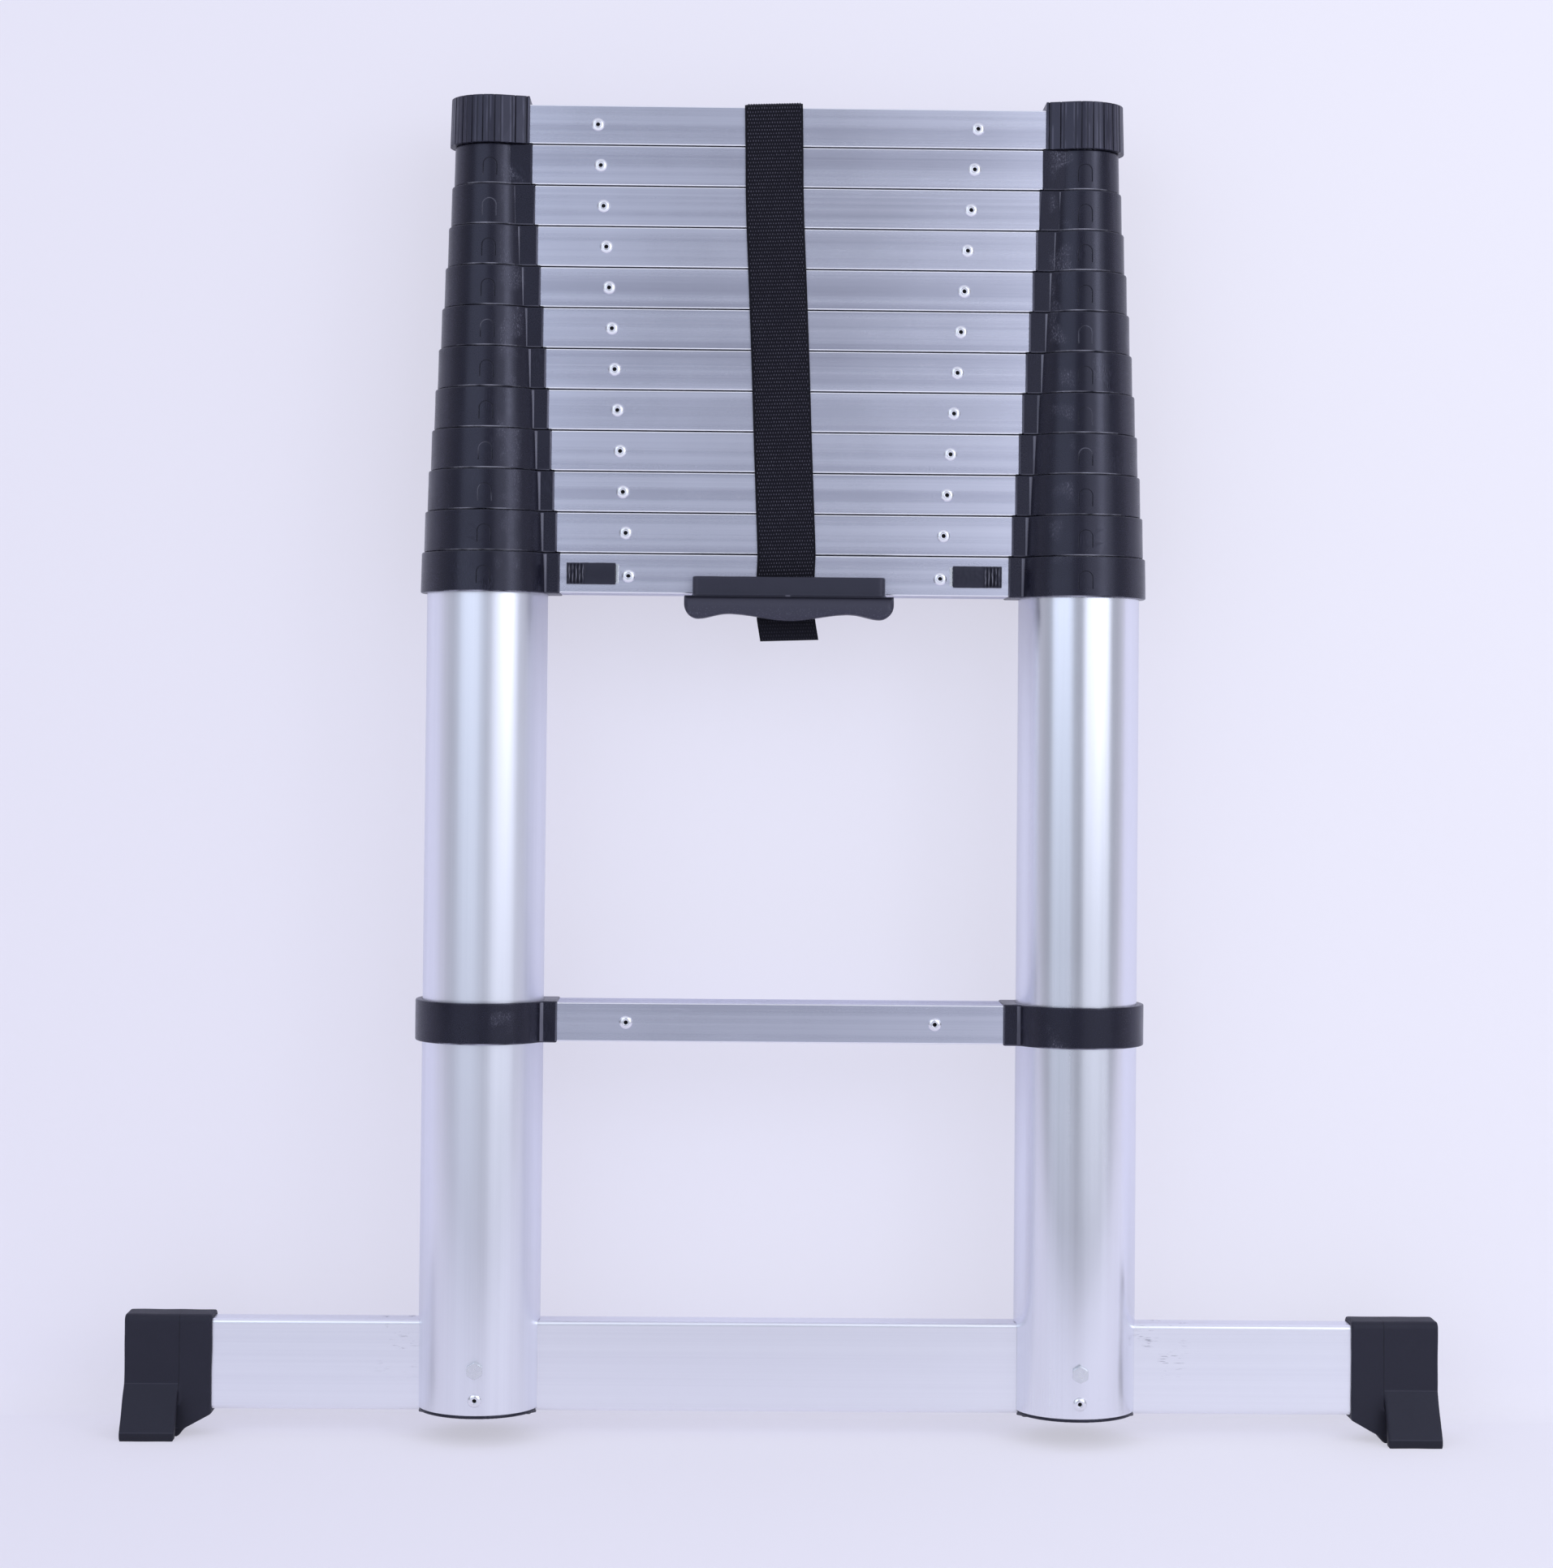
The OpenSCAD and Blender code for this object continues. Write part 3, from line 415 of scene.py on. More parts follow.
def footMarks(place, colour, height):
    low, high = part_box("feet")
    x, y, z = split(place)
    wobble = place.stretched((1, 1, 60)).noise(1.0, 2.0) * 0.0009
    fromEnd = (high.x - foot["shift"]) - size(x - foot["shift"])
    line = band(fromEnd + wobble, foot["line"] + 0.00045, 0.0004) * z.above(0.030, 0.034)
    skirt = 1.0 - fromEnd.above(foot["line"] - 0.001, foot["line"])
    crease = band(z, foot["crease"], 0.0004) * skirt
    rim = band(z, foot["sole"], 0.0004) * skirt
    sole = 1.0 - z.above(foot["sole"] - 0.0008, foot["sole"])
    colour = (line * 0.85 + sole * 0.5).mixed(colour, foot["dark"])
    # painted highlights along the crease and the sole strip's top edge
    colour = (crease * 0.8 + rim * 0.6).mixed(colour, foot["pale"])
    return colour, height - line * 6.0 + crease * 2.0 + rim * 2.0


collarShade = moulded("collarPlastic", plastic["collar"], collarMarks)
capShade = moulded("capPlastic", plastic["cap"], capMarks)
plugShade = moulded("plugPlastic", plastic["collar"])
buttonShade = moulded("buttonPlastic", plastic["button"], buttonMarks)
handleShade = moulded("handlePlastic", plastic["handle"], handleMarks)
rubberShade = moulded("footRubber", plastic["rubber"], footMarks)
print("plastics and rubber ready")


def dress(shade, *names):
    for name in names:
        mesh = nodes[name].data
        for i in range(max(1, len(mesh.materials))):
            if i < len(mesh.materials):
                mesh.materials[i] = shade
            else:
                mesh.materials.append(shade)


sections = sorted({n[:-len("_rung")] for n in nodes if n.startswith("section_") and n.endswith("_rung")})
dress(tubeMetal, "base_tubes", *[s + "_tubes" for s in sections])
dress(barMetal, "stabiliser_bar")
dress(steelShade, "lock_springs", "pin_left", "pin_right")
dress(capShade, "section_11_collars")
print("CAD nodes dressed")


# The webbing strap round the closed stack
webbing = {
    "width": 0.0390, "thick": 0.0016, "tail": 0.031, "hang": 0.029, "lean": 2.0, "corner": 0.0036,
    "sway": [  # share of the way down the front, and how far the band wanders there
        (0.0, 0.0), (0.094, -0.00055), (0.161, -0.0011), (0.228, -0.00115), (0.296, -0.0008), (0.363, -0.0005),
        (0.50, -0.0001), (0.633, 0.0), (0.836, 0.0006), (0.914, -0.0016), (0.956, -0.00106), (0.986, 0.00046),
        (1.0, 0.0011)],
    "rowPitch": 0.00243, "columnPitch": 0.00168, "selvedge": 0.0014,
    "floatLength": 0.00185, "floatWidth": 0.00110, "floatHeight": 0.00045,  # of the warp's loops on the face
    "slack": 0.10,  # the share of the loop's height left when the stack has risen
    # crest is the pale colour of the warp floats' crests, a painted glint
    "colour": (0.0024, 0.0024, 0.0048, 1), "crest": (0.145, 0.140, 0.185, 1), "seed": 4,
}


def webbingMaterial(values):
    made, place, join = newMaterial("webbingWeave", {
        "Sheen Weight": 0.06, "Sheen Roughness": 0.5,
        "Specular IOR Level": 0.3, "Specular Tint": (0.82, 0.80, 1.0, 1)})
    yarn = place.stretched((3400, 3400, 900)).noise(1.0, 2.0, 0.6)
    crest = place.marked("crest")
    lint = place.noise(60, 3.0, 0.6)
    low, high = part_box("strap")
    tail = 1.0 - split(place)[2].above(low.z + 0.020, low.z + 0.032)
    lit = 1.0 - tail * 0.75  # the tail hangs in shade
    # the float crests are painted pale as glints, dimmer in the tail
    join("Base Color", (crest * (yarn * 0.6 + lint * 0.6) * lit).mixed(values["colour"], values["crest"]))
    join("Roughness", 0.78 - crest * 0.33 + yarn * 0.1)
    join("Normal", yarn.bumped(0.6, 0.0001))
    return made


webbingShade = webbingMaterial(webbing)


def wander(table, share):  # what the table says there, in a straight line from row to row
    for (at, low), (end, high) in zip(table, table[1:]):
        if share <= end:
            return low + (high - low) * max(0.0, share - at) / (end - at)
    return table[-1][1]


def strapRoute(values):  # the tail, then up the front, over the top, down the back and underneath
    low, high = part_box("strap")
    thick, tail, r = values["thick"], values["tail"], values["corner"]
    y = high.y - thick / 2
    lean = math.radians(values["lean"])
    height = (high.z - low.z - values["width"] * math.sin(lean)) / math.cos(lean)
    half = (height - tail) / 2
    long, short = [i / 60 for i in range(61)], [i / 8 for i in range(9)]
    arc = [(math.cos(a), math.sin(a)) for a in (math.pi / 2 * share for share in short[1:-1])]
    points = [(-y, -half - values["hang"] * (1 - share)) for share in short[:-1]]
    points += [(-y, -half + (half * 2 - r) * share) for share in long]
    points += [(-y + r - r * c, half - r + r * s) for c, s in arc]
    points += [(-y + r + (2 * y - 2 * r) * share, half) for share in short]
    points += [(y - r + r * s, half - r + r * c) for c, s in arc]
    points += [(y, half - r - (2 * half - 2 * r) * share) for share in long]
    points += [(y - r + r * c, -half + r - r * s) for c, s in arc]
    points += [(y - r - (2 * y - 2.2 * r) * share, -half) for share in short]
    shift = (low.x + high.x - (tail - thick) * math.sin(lean)) / 2
    middle = high.z - (half + thick / 2) * math.cos(lean) - values["width"] / 2 * math.sin(lean)
    route = []
    for y, z in points:
        x = shift - z * math.sin(lean)
        if y < 0:
            x += wander(values["sway"], (half - z) / (2 * half + tail))
        route.append((x, y, middle + z * math.cos(lean)))
    return route


def strapCurve(values):
    data = bpy.data.curves.new("strapRoute", "CURVE")
    data.dimensions = "3D"
    spline = data.splines.new("POLY")
    route = strapRoute(values)
    spline.points.add(len(route) - 1)
    for point, place in zip(spline.points, route):
        point.co = (*place, 1)
    return added("strapRoute", data)


def settled(made):  # its modifiers' result as one plain mesh
    bpy.context.view_layer.update()
    mesh = bpy.data.meshes.new_from_object(made.evaluated_get(bpy.context.evaluated_depsgraph_get()))
    made.modifiers.clear()
    made.data = mesh
    mesh.name = made.name
    return made


class Pattern:  # a Geometry Nodes tree with named inputs
    def __init__(self, name, inputs):
        self.tree = bpy.data.node_groups.new(name, "GeometryNodeTree")
        self.tree.interface.new_socket("Geometry", in_out="OUTPUT", socket_type="NodeSocketGeometry")
        self.keys = {}
        for label, kind in inputs.items():
            made = self.tree.interface.new_socket(label, in_out="INPUT", socket_type="NodeSocket" + kind)
            self.keys[label] = made.identifier
        self.source = self.tree.nodes.new("NodeGroupInput")

    def given(self, label):
        return Wire(self.tree, self.source.outputs[label])

    def add(self, *given, **more):
        return newNode(self.tree, *given, **more)

    def model(self, label):  # the geometry of an object that is an input
        return self.add("GeometryNodeObjectInfo", {"transform_space": "RELATIVE"},
                        {"Object": self.given(label)}, out=4)

    def vectors(self, operation, first, second=(0.0, 0.0, 0.0)):
        return self.add("ShaderNodeVectorMath", {"operation": operation}, {0: first, 1: second})

    def combined(self, **parts):
        return self.add("ShaderNodeCombineXYZ", None, parts)

    def between(self, low, high):  # a random value for each point
        return self.add("FunctionNodeRandomValue", {"data_type": "FLOAT"},
                        {2: low, 3: high, "Seed": self.given("Seed")}, out=1)

    def scaled(self, vector, factor):
        return self.add("ShaderNodeVectorMath", {"operation": "SCALE"}, {0: vector, "Scale": factor})

    def joined(self, *parts):
        made = self.tree.nodes.new("GeometryNodeJoinGeometry")
        for part in parts:
            self.tree.links.new(part.socket, made.inputs[0])
        return Wire(self.tree, made.outputs[0])

    def moved(self, geometry, place=None, offset=None):
        sockets = {"Geometry": geometry}
        if place is not None:
            sockets["Position"] = place
        if offset is not None:
            sockets["Offset"] = offset
        return self.add("GeometryNodeSetPosition", None, sockets)

    def marked(self, geometry, name, value):
        return self.add("GeometryNodeStoreNamedAttribute", {"data_type": "FLOAT", "domain": "POINT"},
                        {"Geometry": geometry, "Name": name, "Value": value})

    def finish(self, geometry, shade):
        whole = self.add("GeometryNodeRealizeInstances", None, {"Geometry": geometry})
        clad = self.add("GeometryNodeSetMaterial", None, {"Geometry": whole, "Material": shade})
        end = self.tree.nodes.new("NodeGroupOutput")
        self.tree.links.new(clad.socket, end.inputs[0])

    def made(self, name, values):  # runs the tree once and gives a plain mesh object
        host = added(name, bpy.data.meshes.new(name))
        modifier = host.modifiers.new(name, "NODES")
        modifier.node_group = self.tree
        for label, value in values.items():
            modifier[self.keys[label]] = value
        return settled(host)


def webbingPattern():
    p = Pattern("webbing", {
        "Route": "Object", "Across": "Vector", "Width": "Float", "Thickness": "Float",
        "Row pitch": "Float", "Column pitch": "Float", "Float length": "Float", "Float width": "Float",
        "Float height": "Float", "Selvedge": "Float", "Seed": "Int"})
    route, across = p.model("Route"), p.given("Across")
    width, thick = p.given("Width"), p.given("Thickness")
    rowPitch, columnPitch = p.given("Row pitch"), p.given("Column pitch")
    length = p.add("GeometryNodeCurveLength", None, {"Curve": route})

    # The plain band, its edges pressed thinner
    plain = p.add("GeometryNodeMeshCube", None, {
        "Size": p.combined(X=length, Y=width, Z=thick),
        "Vertices X": length / 0.003, "Vertices Y": 13, "Vertices Z": 3})
    x, y, z = split(p.add("GeometryNodeInputPosition"))
    press = (size(y) / (width * 0.5)).maths("POWER", 14.0) * -0.55
    plain = p.marked(p.moved(plain, offset=p.combined(Z=z * press)), "crest", 0.0)

    # The warp floats, every second row half a column aside
    woven = width - p.given("Selvedge") * 2.0
    columns = (woven / columnPitch).maths("FLOOR")
    spots = p.add("GeometryNodeMeshGrid", None, {
        "Size X": length - rowPitch, "Size Y": woven - columnPitch,
        "Vertices X": (length / rowPitch).maths("FLOOR"), "Vertices Y": columns})
    row = (p.add("GeometryNodeInputIndex") / columns).maths("FLOOR")
    aside = (row.maths("MODULO", 2.0) - 0.5) * (columnPitch * 0.5)
    jitter = p.between(-0.00008, 0.00008)
    spots = p.moved(spots, offset=p.combined(X=jitter, Y=aside + jitter, Z=thick * 0.46))
    seed = p.add("GeometryNodeMeshUVSphere", None, {"Segments": 5, "Rings": 3, "Radius": 1.0})
    rise = split(p.add("GeometryNodeInputPosition"))[2]
    seed = p.marked(seed, "crest", rise.maths("MAXIMUM", 0.0).maths("POWER", 1.6))
    seed = p.add("GeometryNodeTransform", None, {"Geometry": seed, "Scale": p.combined(
        X=p.given("Float length") * 0.5, Y=p.given("Float width") * 0.5, Z=p.given("Float height"))})
    floats = p.add("GeometryNodeInstanceOnPoints", None, {
        "Points": spots, "Instance": seed, "Scale": p.between(0.82, 1.1)})
    floats = p.add("GeometryNodeRealizeInstances", None, {"Geometry": floats})

    # Laid along the route: X runs along it, Y across it and Z outwards
    flat = p.moved(p.joined(plain, floats), offset=p.combined(X=length * 0.5))
    run = p.add("GeometryNodeSampleCurve", {"mode": "LENGTH"}, {"Curves": route, "Length": x}, out="Position")
    outward = p.vectors("NORMALIZE", p.vectors("CROSS_PRODUCT", across, run.beside("Tangent")))
    aside = p.vectors("ADD", p.scaled(across, y), p.scaled(outward, z))
    laid = p.moved(flat, place=p.vectors("ADD", run, aside))
    p.finish(p.add("GeometryNodeSetShadeSmooth", None, {"Geometry": laid}), webbingShade)
    return p


def addWebbing(values):
    route = strapCurve(values)
    lean = math.radians(values["lean"])
    strap = webbingPattern().made("carryingStrap", {
        "Route": route, "Across": (math.cos(lean), 0.0, math.sin(lean)), "Width": values["width"],
        "Thickness": values["thick"], "Row pitch": values["rowPitch"], "Column pitch": values["columnPitch"],
        "Float length": values["floatLength"], "Float width": values["floatWidth"],
        "Float height": values["floatHeight"], "Selvedge": values["selvedge"], "Seed": values["seed"]})
    bpy.data.objects.remove(route)
    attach(strap, "base")
    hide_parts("strap")
    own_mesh(strap)
    print("webbing strap:", len(strap.data.polygons), "faces")


addWebbing(webbing)


# Copies of CAD solids with softer edges stand in for the solids themselves
def merged(source):  # a CAD solid's loose triangles as one closed mesh with its flat faces whole
    mesh = bmesh.new()
    mesh.from_mesh(nodes[source].data)
    mesh.transform(nodes[source].matrix_world)
    bmesh.ops.remove_doubles(mesh, verts=mesh.verts, dist=1e-6)
    bmesh.ops.dissolve_limit(mesh, angle_limit=math.radians(0.7), verts=mesh.verts, edges=mesh.edges)
    return mesh


def shells(mesh):  # the separate solids in a mesh, each as its list of vertices
    left, found = set(mesh.verts), []
    while left:
        waiting, shell = [left.pop()], []
        while waiting:
            vertex = waiting.pop()
            shell.append(vertex)
            for edge in vertex.link_edges:
                other = edge.other_vert(vertex)
                if other in left:
                    left.remove(other)
                    waiting.append(other)
        found.append(shell)
    return found


def reach(vertices):  # the lowest and the highest corner of their box
    low = Vector([min(v.co[i] for v in vertices) for i in range(3)])
    high = Vector([max(v.co[i] for v in vertices) for i in range(3)])
    return low, high


def flatNormal(face):  # without its rise
    return Vector((face.normal.x, face.normal.y, 0)).normalized()


def plainObject(name, mesh):
    data = bpy.data.meshes.new(name)
    mesh.to_mesh(data)
    mesh.free()
    return added(name, data)


def sharpen(made, angle):
    made.data.shade_smooth()
    made.data.set_sharp_from_angle(angle=math.radians(angle))


def clad(made, shade, source, body):
    made.data.materials.clear()
    made.data.materials.append(shade)
    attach(made, body)
    if source:
        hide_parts(source)


def rounded(name, source, body, shade, width, pick, segments=2, flat=20, shape=None):
    mesh = merged(source)
    if shape:
        shape(mesh, source)
    chosen = []  # the outer edges that "pick" wants round
    for shell in shells(mesh):
        low, high = reach(shell)
        edges = {edge for vertex in shell for edge in vertex.link_edges}
        for edge in edges:
            if edge.is_manifold and edge.calc_face_angle_signed(0) > 0.6 and pick(edge, low, high):
                chosen.append(edge)
    bmesh.ops.bevel(mesh, geom=chosen, offset=width, offset_type="OFFSET", segments=segments,
                    profile=0.5, affect="EDGES", clamp_overlap=False)
    bmesh.ops.triangulate(mesh, faces=mesh.faces)
    made = plainObject(name, mesh)
    sharpen(made, flat)
    clad(made, shade, source, body)
    return made


# Collars are round about the stiles; their lower rims, and the hollows between the round and the block, carry
# painted glints where light reaches
collar = {
    "round": 0.0009,
    "spread": 0.6,  # how far the painted glint goes round each side
    "block": 0.2,  # how much of it the block beside the tube has
    "patches": 110, "seed": 3.0,
    "hollow": 0.25, "hollowPatches": 150,  # painted highlight in the hollow between the round and the block
}


def outward(point):  # straight away from the middle of the nearer tube
    return Vector((point.x - math.copysign(stile, point.x), point.y, 0)).normalized()


def corners(data, face):  # each of a face's corners and where it is
    return [(i, data.vertices[data.loops[i].vertex_index].co) for i in face.loop_indices]


def roundNormals(made):  # the wall's own normals, so that no facet shows
    data = made.data
    normals = [Vector(n.vector) for n in data.corner_normals]
    for face in data.polygons:
        if abs(face.normal.z) < 0.2 and flatNormal(face).dot(outward(face.center)) > 0.992:
            for i, point in corners(data, face):
                normals[i] = (outward(point) + Vector((0, 0, face.normal.z))).normalized()
        elif abs(face.normal.y) > 0.998:
            for i in face.loop_indices:
                normals[i] = face.normal.copy()
    data.normals_split_custom_set(normals)


# Marks the painted glints on each collar's lower rim and in its hollow beside the block
def markPaintedGlints(made, values):
    data = made.data
    wear = data.attributes.new("wear", "FLOAT", "CORNER")
    start = Vector((0, 0, values["seed"]))
    for face in data.polygons:
        out, normal = outward(face.center), face.normal
        if -0.97 < normal.z < -0.2 and normal.y < -0.1:  # the lower rim's round takes a painted glint
            facing = max(0.0, 1 - (normal.x / values["spread"]) ** 2)
            if out.dot(flatNormal(face)) < 0.97:
                facing *= values["block"]
            for i, point in corners(data, face):
                patchy = 0.75 + noise.noise(point * values["patches"] + start) * 1.4
                wear.data[i].value = facing * max(0.0, min(1.0, patchy))
        inward = -math.copysign(1, face.center.x) * normal.x
        narrow = abs(normal.z) < 0.2 and face.area < 1.5e-4
        if narrow and normal.y < -0.6 and 0.12 < inward < 0.75 and out.dot(normal) < 0.985:
            for i, point in corners(data, face):  # the hollow between the round and the block takes a painted highlight
                wear.data[i].value = values["hollow"] + 0.35 * noise.noise(point * values["hollowPatches"])


def rims(edge, low, high):  # the edges around the top and the bottom of a collar
    first, second = (v.co.z for v in edge.verts)
    ends = all(z < low.z + 0.0001 or z > high.z - 0.0001 for z in (first, second))
    return ends and abs(first - second) < 0.0001 and high.z - low.z > 0.02


def addCollars(name, source, body):
    made = rounded(name, source, body, collarShade, collar["round"], rims)
    roundNormals(made)
    markPaintedGlints(made, collar)


addCollars("baseCollars", "base_collars", "base")
addCollars("midClamps", "mid_clamps", "base")
for name in sections:
    if name != "section_11":
        addCollars(name.replace("_", "") + "Collars", name + "_collars", name)
print("collars rounded")


# Extruded rungs, closer together than the solids' corners leave them
rung = {
    "corner": 0.0022, "tight": 0.0009,  # the solid's corner radius, and the one that shows
    "stand": 0.0004,  # how far a rung reaches into the gaps above and below it
    "round": 0.0004,  # on the tread grooves' edges
}


def longEdges(edge, low, high):
    return abs(edge.verts[0].co.x - edge.verts[1].co.x) > 0.05


def hasNeighbour(source, up):  # a rung above it, or else below it
    last = "section_11_rung" if up else "base_rung"
    return source not in ("mid_rung", last)


def tightCorners(mesh, source):
    low, high = reach(mesh.verts)
    middle, half = (low + high) / 2, (high - low) / 2
    corner = rung["corner"]
    for vertex in mesh.verts:
        y, z = vertex.co.y - middle.y, vertex.co.z - middle.z
        offY, offZ = abs(y) - half.y + corner, abs(z) - half.z + corner
        bend = offY > -1e-6 and offZ > -1e-6 and math.hypot(offY, offZ) > corner - 0.0001
        outer = abs(z) > half.z - 1e-5
        if bend:
            spare = corner - rung["tight"]
            vertex.co.y += math.copysign(spare * (1 - offY / corner), y)
            vertex.co.z += math.copysign(spare * (1 - offZ / corner), z)
        if (bend or outer) and hasNeighbour(source, z >= 0):
            vertex.co.z += math.copysign(rung["stand"], z)


def markRims(made):  # the long rims are marked for a painted highlight and are truly round, and every other face is truly flat
    data = made.data
    rim = data.attributes.new("rim", "FLOAT", "CORNER")
    low, high = reach(data.vertices)
    middle, half = (low + high) / 2, (high - low) / 2
    normals = [None] * len(data.loops)
    for face in data.polygons:
        bend = 0.1 < abs(face.normal.z) < 0.97 and abs(face.center.y) > half.y - rung["tight"] * 1.2
        for i, point in corners(data, face):
            normals[i] = face.normal.copy()
            if bend:
                off = point - middle
                y, z = (abs(off[k]) - half[k] + rung["tight"] for k in (1, 2))
                normals[i] = Vector((0, math.copysign(y, off.y), math.copysign(z, off.z))).normalized()
                rim.data[i].value = 1.0
    data.normals_split_custom_set(normals)


def addRung(name, source, body):
    made = rounded(name, source, body, rungMetal, rung["round"], longEdges,
                   segments=3, flat=35, shape=tightCorners)
    markRims(made)


addRung("baseRung", "base_rung", "base")
addRung("midRung", "mid_rung", "base")
for name in sections:
    addRung(name.replace("_", "") + "Rung", name + "_rung", name)
print("rungs rounded")


# Moulded pieces are remeshed on a fine grid of cells and worn smooth in so many passes. A wave's depth,
# and how many waves a metre has, make them slightly uneven
def addBlock(mesh, low, high):
    middle, extent = (Vector(low) + Vector(high)) / 2, Vector(high) - Vector(low)
    bmesh.ops.create_cube(mesh, size=1.0, matrix=Matrix.Translation(middle) @ Matrix.Diagonal((*extent, 1)))


def smoothed(made, passes, group=""):
    worn = made.modifiers.new("worn", "SMOOTH")
    worn.factor, worn.iterations, worn.vertex_group = 0.5, passes, group
    settled(made)


def softened(name, source, body, shade, values, extra=()):  # the extra blocks become part of the piece
    mesh = merged(source)
    for low, high in extra:
        addBlock(mesh, low, high)
    made = plainObject(name, mesh)
    grid = made.modifiers.new("grid", "REMESH")
    grid.mode, grid.voxel_size, grid.use_smooth_shade = "VOXEL", values["cell"], True
    smoothed(made, values["passes"])
    if "below" in values:  # more passes round off what lies under this height
        group = made.vertex_groups.new(name="grip")
        for vertex in made.data.vertices:
            share = (values["below"] - vertex.co.z) / 0.002
            group.add([vertex.index], min(1.0, max(0.0, share)), "REPLACE")
        smoothed(made, values["morePasses"], "grip")
        made.vertex_groups.clear()
    if "wave" in values:
        scale = values["waves"]
        moves = [v.normal * values["wave"] * noise.noise(v.co * scale) for v in made.data.vertices]
        for vertex, move in zip(made.data.vertices, moves):
            vertex.co += move
    clad(made, shade, source, body)
    return made


feet = {"cell": 0.0010, "passes": 3, "wave": 0.00025, "waves": 60}
softened("feetRubber", "feet", "base", rubberShade, feet)

plug = {
    "cell": 0.0008, "passes": 1,
    "saddle": 0.90,  # the share of its width that the saddle under the bar keeps
    "lip": 0.0008,  # how much lower the rim under the tube hangs
}


def addPlugs(values):
    made = softened("tubePlugs", "tube_plugs", "base", plugShade, values)
    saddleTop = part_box("stabiliser_bar")[0].z + 0.0002
    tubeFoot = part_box("base_tubes")[0].z - 0.0004
    for vertex in made.data.vertices:
        if vertex.co.z < saddleTop:
            middle = math.copysign(stile, vertex.co.x)
            vertex.co.x = middle + (vertex.co.x - middle) * values["saddle"]
        if vertex.co.z < tubeFoot:
            vertex.co.z -= values["lip"]


addPlugs(plug)

grip = {
    "cell": 0.0007, "passes": 3, "wave": 0.0001, "waves": 90,
    "below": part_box("handle")[0].z + 0.0160, "morePasses": 12,  # softer below the joint with the saddle
    "bulge": 0.0034, "height": 0.0172, "depth": 0.0085, "power": 2.2,  # a full belly, thinner above and below
}


def addHandle(values):
    made = softened("carryHandle", "handle", "base", handleShade, values)
    middle = sum(point.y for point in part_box("handle")) / 2
    for vertex in made.data.vertices:
        down = (values["below"] - vertex.co.z) / values["height"]
        if down > 0:
            depth = abs(vertex.co.y - middle) / values["depth"]
            pull = values["bulge"] * abs(2 * min(1.0, down) - 1) ** values["power"] * min(1.0, depth)
            vertex.co.y -= math.copysign(pull, vertex.co.y - middle)


addHandle(grip)

# The release buttons' pads have grip ribs at their outer ends
button = {
    "cell": 0.0003, "passes": 1, "wave": 0.00008, "waves": 400,
    "ribs": 5, "pitch": 0.0023, "wide": 0.0012, "proud": 0.0011, "edge": 0.0004, "inset": 0.0012,
    "crown": 0.0009,  # how far the pad's top and bottom lie back
    "lipWide": 0.0022, "lipProud": 0.0002, "lipInset": 0.0008,  # the slot's bright edge
}


def gripRibs(source, side):
    low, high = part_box(source)
    blocks = []
    for i in range(button["ribs"]):
        x = button["inset"] + button["pitch"] * i
        at = low.x + x if side < 0 else high.x - x - button["wide"]
        blocks.append(((at, low.y - button["proud"], low.z + button["edge"]),
                       (at + button["wide"], low.y + 0.001, high.z - button["edge"])))
    return blocks


def addSlotLips(values):  # flush under each pad's inner end
    mesh = bmesh.new()
    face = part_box("base_rung")[0].y
    for name, side in (("button_left", -1), ("button_right", 1)):
        low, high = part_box(name)
        inner = high.x if side < 0 else low.x
        far = inner - side * values["lipWide"]
        addBlock(mesh, (min(inner, far), face - values["lipProud"], low.z + values["lipInset"]),
                 (max(inner, far), face + 0.0005, high.z - values["lipInset"]))
    made = plainObject("slotLips", mesh)
    clad(made, steelShade, None, "base")


def addButton(name, source, side, values):
    made = softened(name, source, source, buttonShade, values, gripRibs(source, side))
    low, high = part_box(source)
    for vertex in made.data.vertices:
        if vertex.co.y < low.y + 0.0015:
            share = (2 * vertex.co.z - low.z - high.z) / (high.z - low.z)
            vertex.co.y += values["crown"] * share * share


addSlotLips(button)
addButton("buttonLeft", "button_left", -1, button)
addButton("buttonRight", "button_right", 1, button)
print("feet, plugs, handle and buttons softened")


# Blind rivets with a hollow head, the floor of the hollow painted near black as painted shade
rivet = {
    "profile": [  # radius and height in millimetres, from the rim to the floor of the hollow
        (4.55, 0.0), (4.5, 0.35), (4.0, 0.75), (3.2, 1.25), (2.4, 1.5), (1.8, 1.5), (1.45, 1.3), (1.35, -1.2)],
    "turns": 18, "head": 0.0015,
    "baseDrop": 0.0015,  # how far the base rung's rivets sit below its middle
    # dark is the painted shade on the floor of the hollow
    "colour": (0.86, 0.86, 0.90, 1), "dark": (0.002, 0.002, 0.003, 1), "rough": 0.16,
}


def rivetHead(values):
    mesh = bmesh.new()
    hollow = mesh.verts.layers.float.new("hollow")
    rings, floor = [], values["profile"][-1][0]
    for r, h in values["profile"]:
        ring = []
        for i in range(values["turns"]):
            turn = 2 * math.pi * i / values["turns"]
            vertex = mesh.verts.new((r * math.cos(turn) / 1000, -h / 1000, r * math.sin(turn) / 1000))
            vertex[hollow] = 1.0 if r == floor else 0.0
            ring.append(vertex)
        rings.append(ring)
    for outer, inner in zip(rings, rings[1:]):
        for i in range(values["turns"]):
            j = (i + 1) % values["turns"]
            mesh.faces.new((outer[j], outer[i], inner[i], inner[j]))
    mesh.faces.new(list(reversed(rings[-1])))
    bmesh.ops.recalc_face_normals(mesh, faces=mesh.faces)
    made = plainObject("rivetHead", mesh)
    made.data.shade_smooth()
    return made


